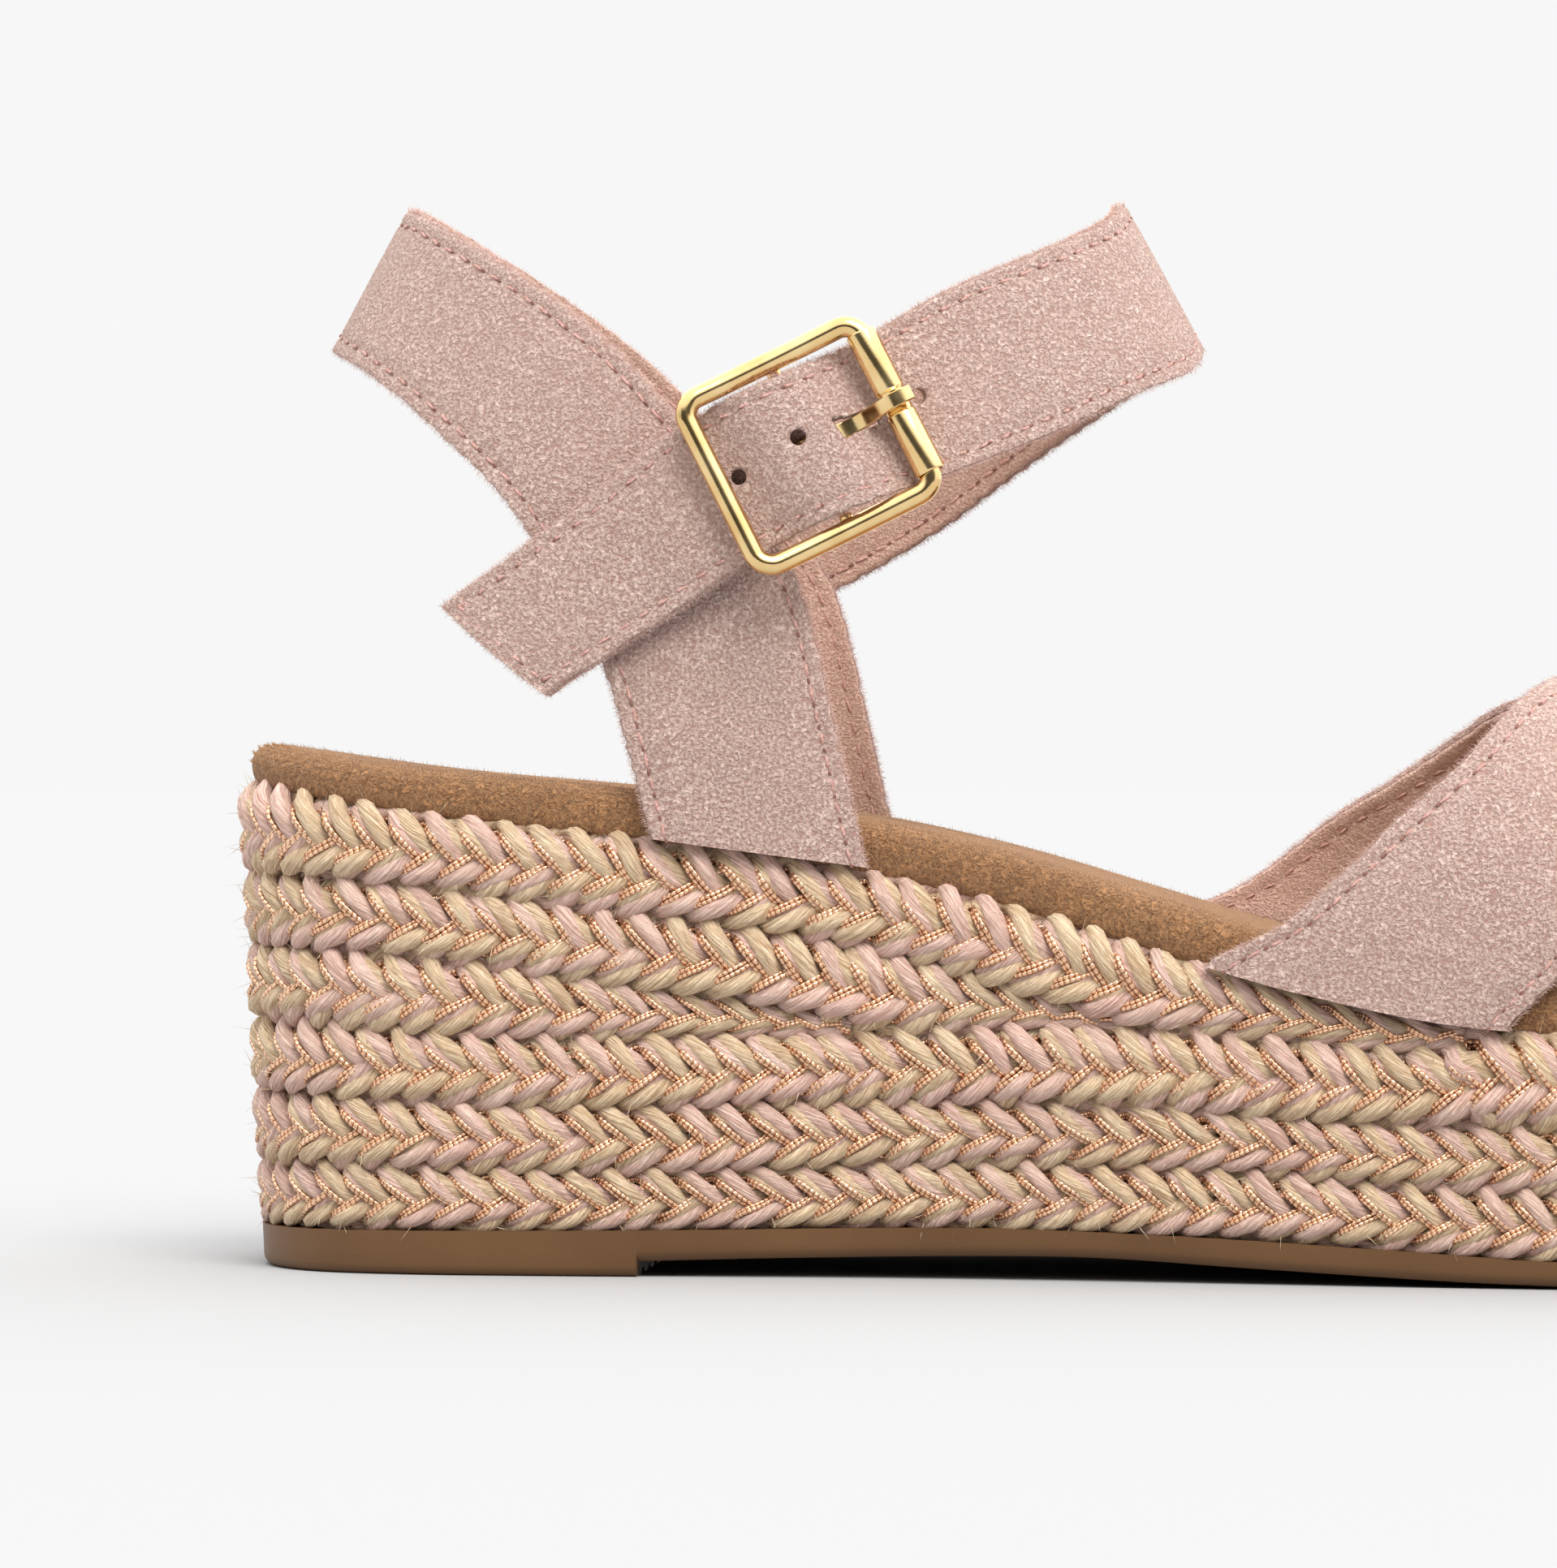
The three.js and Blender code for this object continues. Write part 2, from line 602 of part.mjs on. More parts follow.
// The prong curls round the centre bar and lies over the roller, ending square.
function makeProng() {
  const curl = BAR_RADIUS + 0.9;
  const restLift = FRAME_LIFT + ROLLER_RADIUS + 0.1;
  const outline = new THREE.Shape();
  outline.moveTo(0, BAR_LIFT + curl);
  outline.absarc(0, BAR_LIFT, curl, Math.PI / 2, 2 * Math.PI - 0.35, false);
  outline.lineTo(3.0, BAR_LIFT + 1.0);
  outline.quadraticCurveTo(7.0, restLift - 2.4, BAR_SPACING - 2.6, restLift - 0.3);
  outline.lineTo(BAR_SPACING - 0.8, restLift);
  outline.lineTo(BAR_SPACING + 2.6, restLift - 0.3);
  outline.lineTo(BAR_SPACING + 2.6, restLift + 0.9);
  outline.lineTo(BAR_SPACING - 0.8, restLift + 1.3);
  outline.quadraticCurveTo(7.0, restLift + 0.1, 3.4, BAR_LIFT + 2.5);
  outline.lineTo(0, BAR_LIFT + curl);
  outline.holes.push(eyelet(BAR_RADIUS + 0.2));
  return acrossStrap(outline, PRONG_WIDTH, 8);
}

// The chape is a short suede tab: looped round the centre bar, slit for the prong,
// with its tail sewn flat on the heel strap.
function makeChape() {
  const loop = BAR_RADIUS + 0.9;
  const tail = 16;
  const outline = new THREE.Shape();
  outline.moveTo(-tail, CHAPE_TAIL_LIFT);
  outline.lineTo(-1.6, CHAPE_LIFT);
  outline.lineTo(0, BAR_LIFT - loop);
  outline.absarc(0, BAR_LIFT, loop, -Math.PI / 2, Math.PI * 1.2, false);
  outline.lineTo(-2.4, CHAPE_LIFT + CHAPE_THICKNESS);
  outline.lineTo(-tail, CHAPE_TAIL_LIFT + CHAPE_THICKNESS);
  outline.holes.push(eyelet(BAR_RADIUS + 0.2));
  const slit = new THREE.BoxGeometry(8, PRONG_WIDTH + 0.8, 12).translate(1.4, 0, BAR_LIFT);
  return cut(acrossStrap(outline, CHAPE_WIDTH), slit);
}

// The punched hole that the prong comes up through, long enough for it to swing.
function prongSlot() {
  const slot = new THREE.BoxGeometry(8.4, PRONG_WIDTH + 0.9, 14).translate(4.0, 0, 6);
  return slot.applyMatrix4(BUCKLE_PLACE);
}

// ---------- assembly ----------

const sandal = new THREE.Group();
sandal.name = 'wedge_sandal';

function add(name, geometry, material) {
  const mesh = new THREE.Mesh(geometry, material);
  mesh.name = name;
  sandal.add(mesh);
  return mesh;
}

// Adds a strap's lining and suede as two nodes.
function addLayers(name, makeLayer) {
  add(`${name}_lining`, makeLayer(0, LINING_THICKNESS), LINING);
  add(`${name}_outer`, makeLayer(SUEDE_START, SUEDE_THICKNESS), SUEDE);
}

add('outsole', makeOutsole(), RUBBER);
add('wedge_core', makeWedgeCore(), CORK);
add('insole_board', makeInsoleBoard(), BOARD);
add('footbed_foam', makeFootbedFoam(), FOAM);
add('footbed_cover', makeFootbedCover(), MICROSUEDE);

add('braid_course_1', makeHeelCourse(higher(bottomOfCourse1, topOfCourse4), topOfBraid, 155), JUTE);
add('braid_course_2', makeHeelCourse(higher(bottomOfCourse2, topOfCourse4), bottomOfCourse1, 114), JUTE);
add('braid_course_3', makeHeelCourse(topOfCourse4, bottomOfCourse2, 80), JUTE);
add('braid_course_4', makeFullCourse(topOfCourse5, topOfForefoot), JUTE);
add('braid_course_5', makeFullCourse(topOfCourse6, topOfCourse5), JUTE);
add('braid_course_6', makeFullCourse(raised(soleTop, TOUCH_GAP / 2), topOfCourse6), JUTE);

addLayers('heel_strap', (start, thickness) =>
  strapLayer(HEEL_STRAP, 0, HEEL_STRAP_END, 44, start, thickness));
addLayers('ankle_strap', (start, thickness) =>
  cut(strapLayer(ANKLE_STRAP, 0, TIP_HINGE - TIP_GAP, 60, start, thickness), prongSlot()));
addLayers('strap_tip', (start, thickness) =>
  strapLayer(ANKLE_STRAP, TIP_HINGE + TIP_GAP, STRAP_TIP, 12, start, thickness));
addLayers('over_band', (start, thickness) =>
  vampLayer(OVER_REAR, OVER_FRONT, () => 0, start, thickness));
addLayers('under_band', (start, thickness) =>
  vampLayer(UNDER_REAR, UNDER_FRONT, underBandLift, start, thickness));

const buckle = new THREE.Group();
buckle.applyMatrix4(BUCKLE_PLACE);
sandal.add(buckle);
[
  ['buckle_frame', makeBuckleFrame(), GOLD],
  ['buckle_roller', makeRoller(), GOLD],
  ['buckle_prong', makeProng(), GOLD],
  ['buckle_chape', makeChape(), SUEDE],
].forEach(([name, geometry, material]) => {
  const mesh = add(name, geometry, material);
  buckle.add(mesh);
});

// Centres the footprint on the origin.
sandal.position.set(...FOOTPRINT_SHIFT);

export default sandal;
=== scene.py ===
# %% [markdown]
# # A wedge espadrille sandal
#
# The shoe is a wedge of cork wrapped in six courses of jute braid, on a rubber
# sole. A padded footbed lies on top, and suede bands hold the foot. Everything
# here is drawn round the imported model, in the same frame, in metres.

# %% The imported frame
import math

import bmesh
import bpy
import numpy as np
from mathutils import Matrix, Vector


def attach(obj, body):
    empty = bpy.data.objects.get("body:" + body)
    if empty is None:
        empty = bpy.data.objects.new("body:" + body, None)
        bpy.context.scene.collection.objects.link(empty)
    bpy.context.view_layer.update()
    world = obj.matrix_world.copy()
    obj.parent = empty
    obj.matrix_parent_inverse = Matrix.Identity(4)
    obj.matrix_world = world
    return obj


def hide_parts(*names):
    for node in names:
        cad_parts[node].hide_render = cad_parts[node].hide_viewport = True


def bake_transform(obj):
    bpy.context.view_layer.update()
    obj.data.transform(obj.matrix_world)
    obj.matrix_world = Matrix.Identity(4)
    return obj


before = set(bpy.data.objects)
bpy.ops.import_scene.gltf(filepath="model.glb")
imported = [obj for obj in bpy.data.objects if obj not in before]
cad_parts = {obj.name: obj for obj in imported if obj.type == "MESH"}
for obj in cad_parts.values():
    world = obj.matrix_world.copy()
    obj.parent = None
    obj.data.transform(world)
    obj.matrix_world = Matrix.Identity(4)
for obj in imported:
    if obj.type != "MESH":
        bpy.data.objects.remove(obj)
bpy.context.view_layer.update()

scene = bpy.context.scene

# %% [markdown]
# ## Camera, floor and light
#
# The shoe is seen level and almost square to its outer side, from far enough
# away that the perspective stays slight. A long lens does that. The stage is a
# wide white floor under a pale sky of the same brightness, so no horizon shows.
# One broad soft sun gives the shadows; the sky fills them.

# %% Camera
def place(x, y, z):
    """A point of the frame, given in millimetres."""
    return Vector((x, y, z)) * 0.001


eye, aim = place(20.9, -897.0, 61.1), place(-54.95, -30.3, 61.1)
lens = bpy.data.cameras.new("camera")
lens.lens = 162.1
lens.clip_end = 100
camera = bpy.data.objects.new("camera", lens)
camera.location = eye
camera.rotation_euler = (aim - eye).to_track_quat("-Z", "Y").to_euler()
scene.collection.objects.link(camera)
scene.camera = camera
scene.view_settings.view_transform = "Standard"
print("camera distance:", round((aim - eye).length, 3), "m")

# %% [markdown]
# Node trees are written as sums: a Wire is one value inside a tree, and adding
# or multiplying wires adds the maths nodes. The same class serves the shaders
# and the Geometry Nodes trees.

# %% Wires for node trees
class Wire:
    """One value in a node tree; arithmetic on wires adds the nodes that do it."""

    def __init__(self, socket):
        self.socket = socket
        self.tree = socket.id_data

    def maths(self, operation, *others):
        node = self.tree.nodes.new("ShaderNodeMath")
        node.operation = operation
        for slot, value in zip(node.inputs, (self, *others)):
            feed(slot, value)
        return Wire(node.outputs[0])

    def __add__(self, other):
        return self.maths("ADD", other)

    def __sub__(self, other):
        return self.maths("SUBTRACT", other)

    def __mul__(self, other):
        return self.maths("MULTIPLY", other)

    def __truediv__(self, other):
        return self.maths("DIVIDE", other)

    __radd__ = __add__
    __rmul__ = __mul__

    def __rsub__(self, other):
        return self * -1 + other

    def sin(self):
        return self.maths("SINE")

    def cos(self):
        return self.maths("COSINE")

    def clamped(self, low, high):
        return self.maths("MAXIMUM", low).maths("MINIMUM", high)


def feed(slot, value):
    """Links a wire to a socket, or sets a plain value on it."""
    if isinstance(value, Wire):
        slot.id_data.links.new(value.socket, slot)
    else:
        slot.default_value = value


def add_node(tree, kind, inputs=None, output=0, **settings):
    """Adds a node with its settings and inputs, and returns one output as a wire."""
    node = tree.nodes.new(kind)
    for name, value in settings.items():
        setattr(node, name, value)
    for name, value in (inputs or {}).items():
        feed(node.inputs[name], value)
    return Wire(node.outputs[output])


def scaled(vector, amount):
    return add_node(vector.tree, "ShaderNodeVectorMath", {0: vector, "Scale": amount},
                    operation="SCALE")


def summed(*vectors):
    total = vectors[0]
    for vector in vectors[1:]:
        total = add_node(total.tree, "ShaderNodeVectorMath", {0: total, 1: vector},
                         operation="ADD")
    return total


def combined(tree, x, y, z):
    return add_node(tree, "ShaderNodeCombineXYZ", {"X": x, "Y": y, "Z": z})


def noise(tree, vector, scale, detail=2.0, roughness=0.5, distortion=0.0):
    return add_node(tree, "ShaderNodeTexNoise", {
        "Vector": vector, "Scale": scale, "Detail": detail, "Roughness": roughness,
        "Distortion": distortion})


# %% Sky, sun and floor
def build_sky(seen, low, high, right, room):
    """A pale studio sky: plain where it is seen, brighter overhead and to the right
    where it lights, and dark toward the unlit end of the room behind the camera."""
    world = bpy.data.worlds.new("studio")
    scene.world = world
    world.use_nodes = True
    tree = world.node_tree
    tree.nodes.clear()
    direction = add_node(tree, "ShaderNodeTexCoord", output=0)
    height = add_node(tree, "ShaderNodeSeparateXYZ", {"Vector": direction}, output=2)
    side = add_node(tree, "ShaderNodeSeparateXYZ", {"Vector": direction}, output=1)
    across = add_node(tree, "ShaderNodeSeparateXYZ", {"Vector": direction}, output=0)
    overhead = add_node(tree, "ShaderNodeMapRange", {
        "Value": height, "From Min": 0.05, "From Max": 0.75, "To Min": low, "To Max": high},
        interpolation_type="SMOOTHSTEP")
    behind = add_node(tree, "ShaderNodeMapRange", {
        "Value": side, "From Min": -0.2, "From Max": 0.8, "To Min": 0.0, "To Max": 0.5})
    from_right = add_node(tree, "ShaderNodeMapRange", {
        "Value": across, "From Min": -0.2, "From Max": 0.8, "To Min": 0.0, "To Max": right})
    aside = add_node(tree, "ShaderNodeMapRange", {
        "Value": side, "From Min": -0.78, "From Max": -0.42, "To Min": room, "To Max": 1.0},
        interpolation_type="SMOOTHSTEP")
    above = add_node(tree, "ShaderNodeMapRange", {
        "Value": height, "From Min": 0.3, "From Max": 0.45, "To Min": room, "To Max": 1.0},
        interpolation_type="SMOOTHSTEP")
    from_camera = add_node(tree, "ShaderNodeLightPath")
    lit = (overhead + behind + from_right) * aside.maths("MAXIMUM", above)
    strength = from_camera * seen + (1 - from_camera) * lit
    background = add_node(tree, "ShaderNodeBackground", {
        "Color": (1.0, 1.0, 1.0, 1.0), "Strength": strength})
    output = tree.nodes.new("ShaderNodeOutputWorld")
    feed(output.inputs["Surface"], background)


build_sky(seen=0.93, low=0.74, high=1.6, right=0.4, room=0.1)

sun = bpy.data.lights.new("softbox", "SUN")
sun.energy = 2.45
sun.color = (1.0, 0.955, 0.9)
sun.angle = math.radians(34)
sun_object = bpy.data.objects.new("softbox", sun)
sun_object.rotation_euler = Vector((-0.3, 0.66, -1.0)).to_track_quat("-Z", "Y").to_euler()
scene.collection.objects.link(sun_object)


def new_material(name, **values):
    """An empty material with a Principled shader; values are set on its own sockets."""
    material = bpy.data.materials.new(name)
    material.use_nodes = True
    tree = material.node_tree
    tree.nodes.clear()
    shader = tree.nodes.new("ShaderNodeBsdfPrincipled")
    output = tree.nodes.new("ShaderNodeOutputMaterial")
    tree.links.new(shader.outputs[0], output.inputs["Surface"])
    for label, value in values.items():
        shader.inputs[label.replace("_", " ")].default_value = value
    return material, tree, shader


def build_floor():
    material, tree, shader = new_material("white_paper", Roughness=1.0, Specular_IOR_Level=0.0)
    where = add_node(tree, "ShaderNodeTexCoord", output=3)
    grain = noise(tree, where, 900.0, 3.0)
    tone = 0.398 + grain * 0.01
    feed(shader.inputs["Base Color"], combined(tree, tone, tone * 1.012, tone * 1.03))
    mesh = bpy.data.meshes.new("floor")
    half = 60.0
    corners = [(-half, -half, 0), (half, -half, 0), (half, half, 0), (-half, half, 0)]
    mesh.from_pydata(corners, [], [(0, 1, 2, 3)])
    mesh.materials.append(material)
    floor = bpy.data.objects.new("floor", mesh)
    scene.collection.objects.link(floor)
    return floor


floor = build_floor()

# %% [markdown]
# ## Materials
#
# Every finish is grown from noise on Object coordinates, so it stays fixed to
# the piece, and has three scales: a slow change of tone over centimetres, the
# grain itself at its real size, and a fine speckle. The grain also drives the
# bump. Numbers that are the same all over sit on the shader's own sockets.

# %% Colour helpers
def colour(red, green, blue):
    """A display colour, 0 to 255, as the linear colour a shader wants."""
    return tuple(((c / 255 + 0.055) / 1.055) ** 2.4 for c in (red, green, blue)) + (1.0,)


def blended(factor, first, second, kind="MIX"):
    """Mixes two colours, which may be wires, by a factor."""
    node = factor.tree.nodes.new("ShaderNodeMix")
    node.data_type = "RGBA"
    node.blend_type = kind
    feed(node.inputs[0], factor)
    feed(node.inputs[6], first)
    feed(node.inputs[7], second)
    return Wire(node.outputs[2])


def between(value, low, high, to_low=0.0, to_high=1.0):
    """Stretches a value from one range to another, and stops at its ends."""
    return add_node(value.tree, "ShaderNodeMapRange", {
        "Value": value, "From Min": low, "From Max": high,
        "To Min": to_low, "To Max": to_high})


def bumped(shader, height, depth, strength=1.0):
    """Drives the shader's normal from a height, in metres for a height of one."""
    node = shader.id_data.nodes.new("ShaderNodeBump")
    node.inputs["Strength"].default_value = strength
    node.inputs["Distance"].default_value = depth
    feed(node.inputs["Height"], height)
    shader.id_data.links.new(node.outputs[0], shader.inputs["Normal"])


def object_place(tree):
    return add_node(tree, "ShaderNodeTexCoord", output=3)


# %% [markdown]
# Suede is split hide with its nap raised. Up close it is a field of tiny
# tufts, half a millimetre across, some lying toward the eye and some away. The
# colour draws them as light and dark crumbs: the nap's own tone, with painted
# highlight and painted shade of the tufts. Sheen stands for the fibres that catch
# light at the rim of a fold.

# %% Suede, lining and microsuede
def make_suede(name, light, dark, deep, tuft=2250.0, depth=0.00042):
    material, tree, shader = new_material(
        name, Roughness=0.92, Specular_IOR_Level=0.18,
        Sheen_Weight=0.22, Sheen_Roughness=0.45, Sheen_Tint=(1.0, 0.86, 0.8, 1.0))
    where = object_place(tree)
    clouds = noise(tree, where, 55.0, 3.0)
    tufts = noise(tree, where, tuft, 3.0, 0.62, 0.35)
    specks = noise(tree, where, tuft * 2.7, 2.0, 0.7)
    nap = between(tufts, 0.36, 0.64)
    # Light and dark crumbs: the nap's own tone plus painted highlight and painted shade of the tufts;
    # the same mask drives the bump.
    shade = between(nap * 0.8 + specks * 0.35, 0.15, 0.95)
    tone = blended(shade, dark, light)
    tone = blended(between(clouds, 0.35, 0.75, 0.0, 0.3), tone, deep)
    feed(shader.inputs["Base Color"], tone)
    bumped(shader, nap * 0.8 + specks * 0.35, depth)
    return material


suede = make_suede("blush_suede", colour(235, 208, 197), colour(172, 132, 121),
                   colour(212, 178, 165))
lining = make_suede("strap_lining", colour(243, 207, 190), colour(202, 159, 142),
                    colour(217, 175, 156), tuft=2700.0, depth=0.0003)


def make_microsuede():
    """A short brushed nap, rubbed into curls that lie a few millimetres apart."""
    material, tree, shader = new_material(
        "tan_microsuede", Roughness=0.88, Specular_IOR_Level=0.2,
        Sheen_Weight=0.25, Sheen_Roughness=0.5, Sheen_Tint=(1.0, 0.8, 0.58, 1.0))
    where = object_place(tree)
    curls = noise(tree, where, 840.0, 3.0, 0.6, 2.6)
    fibres = noise(tree, where, 2200.0, 2.0, 0.7, 0.9)
    clouds = noise(tree, where, 70.0, 2.0)
    brushed = between(curls, 0.38, 0.62)
    tone = blended(brushed, colour(104, 68, 43), colour(175, 126, 85))
    tone = blended(between(fibres, 0.4, 0.62, 0.0, 0.55), tone, colour(202, 156, 112))
    tone = blended(between(clouds, 0.3, 0.8, 0.0, 0.3), tone, colour(134, 90, 60))
    feed(shader.inputs["Base Color"], tone)
    bumped(shader, brushed * 0.6 + fibres * 0.6, 0.0005)
    return material


microsuede = make_microsuede()
print("suede finishes:", suede.name, lining.name, microsuede.name)

# %% [markdown]
# Jute yarn is a bundle of long stiff fibres laid side by side. The pattern runs
# along the yarn: each swept thread carries its own length and its own round
# direction as attributes, and the noise is stretched along them. One attribute
# says which ply is dyed pink.

# %% Jute yarn and copper cord
def attribute(tree, name, output=2):
    return add_node(tree, "ShaderNodeAttribute", output=output, attribute_name=name)


def yarn_place(tree, along_scale, round_scale, twist=0.013):
    """Coordinates that wind along a yarn and round it, without a seam."""
    along = attribute(tree, "yarn_along")
    around = add_node(tree, "ShaderNodeSeparateXYZ", {
        "Vector": attribute(tree, "yarn_round", output=1)})
    other = Wire(around.socket.node.outputs[1])
    thread = attribute(tree, "yarn_thread")
    turn = along * (2 * math.pi / twist)
    sideways = around * turn.cos() - other * turn.sin()
    upward = around * turn.sin() + other * turn.cos()
    return combined(tree, sideways * round_scale + thread * 7.3, upward * round_scale,
                    along * along_scale)


def make_jute():
    material, tree, shader = new_material(
        "jute_yarn", Roughness=0.82, Specular_IOR_Level=0.25,
        Sheen_Weight=0.18, Sheen_Roughness=0.5, Sheen_Tint=(1.0, 0.93, 0.82, 1.0))
    strands = noise(tree, yarn_place(tree, 150.0, 4.6), 1.0, 3.0, 0.7, 0.2)
    hairs = noise(tree, yarn_place(tree, 260.0, 10.0), 1.0, 2.0, 0.6)
    where = object_place(tree)
    clouds = noise(tree, where, 110.0, 2.0)
    thread = attribute(tree, "yarn_thread")
    pink = thread.maths("MODULO", 2.0)
    pale = blended(between(strands, 0.38, 0.62), colour(196, 161, 123), colour(252, 228, 194))
    rose = blended(between(strands, 0.38, 0.62), colour(206, 160, 146), colour(252, 220, 207))
    tone = blended(pink, pale, rose)
    tone = blended(between(hairs, 0.56, 0.7, 0.0, 0.6), tone, colour(158, 116, 82))
    tone = blended(between(clouds, 0.4, 0.75, 0.0, 0.25), tone, colour(226, 204, 178))
    feed(shader.inputs["Base Color"], tone)
    bumped(shader, strands * 0.9 + hairs * 0.5, 0.0006)
    return material


def make_copper_cord():
    """A cord wrapped in foil: turns half a millimetre wide, coloured bright and dark as painted
    highlight and painted shade.
    """
    material, tree, shader = new_material(
        "copper_cord", Metallic=0.85, Roughness=0.24, Specular_IOR_Level=0.5)
    along = attribute(tree, "yarn_along")
    wander = noise(tree, yarn_place(tree, 260.0, 1.0), 1.0, 2.0)
    turns = ((along * (2 * math.pi / 0.00055)) + wander * 4.0).sin() * 0.5 + 0.5
    flakes = noise(tree, yarn_place(tree, 500.0, 1.6), 1.0, 1.0)
    # Each turn runs from dark to bright copper: painted shade and painted highlight on the foil.
    tone = blended(between(turns, 0.05, 0.35), colour(170, 112, 76), colour(250, 206, 170))
    tone = blended(between(flakes, 0.56, 0.72, 0.0, 0.6), tone, colour(255, 226, 198))
    feed(shader.inputs["Base Color"], tone)
    bumped(shader, turns * 0.7 + flakes * 0.3, 0.00008)
    return material


jute = make_jute()
copper = make_copper_cord()
print("yarn finishes:", jute.name, copper.name)

# %% [markdown]
# The sole is a moulded brown rubber with a satin skin, the buckle is polished
# brass-gold plate with hairline scratches. The cork and the board are inside the
# shoe, but they have their own finishes all the same.

# %% Rubber, gold and the hidden layers
def make_rubber():
    material, tree, shader = new_material(
        "brown_rubber", Roughness=0.5, Specular_IOR_Level=0.42)
    where = object_place(tree)
    clouds = noise(tree, where, 38.0, 3.0)
    specks = noise(tree, where, 2100.0, 3.0, 0.6)
    tone = blended(between(clouds, 0.3, 0.7), colour(97, 66, 37), colour(109, 77, 45))
    tone = blended(between(specks, 0.62, 0.8, 0.0, 0.35), tone, colour(128, 98, 68))
    feed(shader.inputs["Base Color"], tone)
    feed(shader.inputs["Roughness"], between(clouds, 0.2, 0.8, 0.42, 0.58))
    bumped(shader, specks, 0.00003)
    return material


def make_gold():
    material, tree, shader = new_material(
        "gold_plate", Metallic=1.0, Roughness=0.13, Specular_IOR_Level=0.5)
    where = object_place(tree)
    smears = noise(tree, where, 260.0, 3.0)
    scratches = noise(tree, scaled(where, 1.0), 5200.0, 1.0, 0.5, 0.4)
    tone = blended(between(smears, 0.3, 0.7), colour(232, 196, 134), colour(247, 219, 163))
    feed(shader.inputs["Base Color"], tone)
    feed(shader.inputs["Roughness"], between(smears, 0.25, 0.8, 0.09, 0.2))
    bumped(shader, scratches, 0.000004)
    return material


def make_crumb(name, light, dark, scale, roughness=0.9):
    """Pressed crumbs or fibres: cork, fibreboard or foam, by colour and size."""
    material, tree, shader = new_material(name, Roughness=roughness, Specular_IOR_Level=0.2)
    where = object_place(tree)
    cells = add_node(tree, "ShaderNodeTexVoronoi", {"Vector": where, "Scale": scale})
    grain = noise(tree, where, scale * 2.2, 3.0)
    feed(shader.inputs["Base Color"], blended(between(cells + grain * 0.5, 0.2, 0.9), dark, light))
    bumped(shader, cells, 0.0002)
    return material


rubber = make_rubber()
gold = make_gold()
cork = make_crumb("cork_core", colour(146, 108, 76), colour(92, 66, 46), 700.0)
board = make_crumb("fibre_board", colour(150, 122, 90), colour(116, 90, 64), 1500.0)
for node, material in (("wedge_core", cork), ("insole_board", board)):
    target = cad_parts[node]
    if not target.material_slots:
        target.data.materials.append(None)
    for slot in target.material_slots:
        slot.material = material
print("hard finishes:", rubber.name, gold.name, cork.name, board.name)

# %% [markdown]
# ## The shoe's lines
#
# The part's own drawing is repeated here: heights are smooth lines by distance
# forward of the heel's back, and the wall follows one outline seen from above.
# Everything is worked out in millimetres on whole arrays of points, and moved
# to the frame's metres only when a mesh is made.

# %% Heights and outline
HEEL_X = -127.0
SHIFT = np.array([0.65, -0.28, 0.0])      # the drawing's origin to the frame's


def through(points):
    """A smooth line through [place, value] points that never overshoots them."""
    places, values = np.array(points, float).T
    slopes = np.diff(values) / np.diff(places)
    before, after = slopes[:-1], slopes[1:]
    agree = before * after > 0
    middle = np.where(agree, 2 * before * after / np.where(agree, before + after, 1.0), 0.0)
    tangents = np.concatenate([slopes[:1], middle, slopes[-1:]])

    def line(place):
        at = np.clip(place, places[0], places[-1])
        i = np.clip(np.searchsorted(places, at, side="right") - 1, 0, len(slopes) - 1)
        span = places[i + 1] - places[i]
        t = (at - places[i]) / span
        rise = t * t * (3 - 2 * t)
        lead = t * (1 - t) ** 2 * span * tangents[i]
        trail = t * t * (t - 1) * span * tangents[i + 1]
        return values[i] + (values[i + 1] - values[i]) * rise + lead + trail

    return line


feather_line = through([
    [0, 61.2], [25, 57.1], [52, 54.0], [80, 50.0], [97, 46.2], [118, 40.0],
    [134, 35.3], [157, 30.9], [175, 29.8], [205, 29.0], [230, 29.6], [254, 32.2]])
under_course_1 = through([
    [0, 50.6], [20, 49.0], [46, 46.0], [65, 43.8], [85, 40.2], [104, 34.9], [116, 31.2],
    [130, 26]])
under_course_2 = through([[0, 41.2], [20, 40.2], [45, 37.2], [65, 34.6], [84, 30.6], [100, 26]])
over_course_4 = through([
    [0, 31.8], [50, 29.6], [85, 30.5], [110, 31.4], [130, 30.2], [148, 28.8], [156, 29.9]])
over_course_5 = through([
    [0, 22.6], [50, 21.1], [95, 21.9], [120, 21.4], [150, 19.8], [200, 19.5], [230, 20.4],
    [254, 24.0]])
over_course_6 = through([
    [0, 13.6], [55, 13.1], [95, 14.3], [120, 14.1], [150, 12.2], [200, 11.3], [230, 12.2],
    [254, 15.8]])
over_sole = through([
    [0, 5.3], [55, 5.8], [96, 6.4], [120, 5.8], [148, 4.4], [170, 3.3], [215, 3.3], [254, 7.6]])
toe_spring = through([[0, 0], [205, 0], [230, 1.0], [254, 4.2]])


def wall_inset(z):
    return 2.7 * (1 - z / 61.0)


OUTLINE_POINTS = np.array([
    [0, 0], [3, -14], [11, -23.5], [24, -28.3], [42, -29.8], [62, -30], [84, -30.6],
    [108, -33.6], [134, -38.2], [160, -42.3], [184, -44], [206, -42.6], [226, -36.5],
    [242, -25], [251, -10], [254, 6], [250, 22], [240, 33.5], [224, 40.5], [204, 43.8],
    [182, 43.6], [158, 40.2], [132, 35], [108, 31.6], [84, 30.2], [62, 30], [42, 29.8],
    [24, 28.3], [11, 23.5], [3, 14]], float)


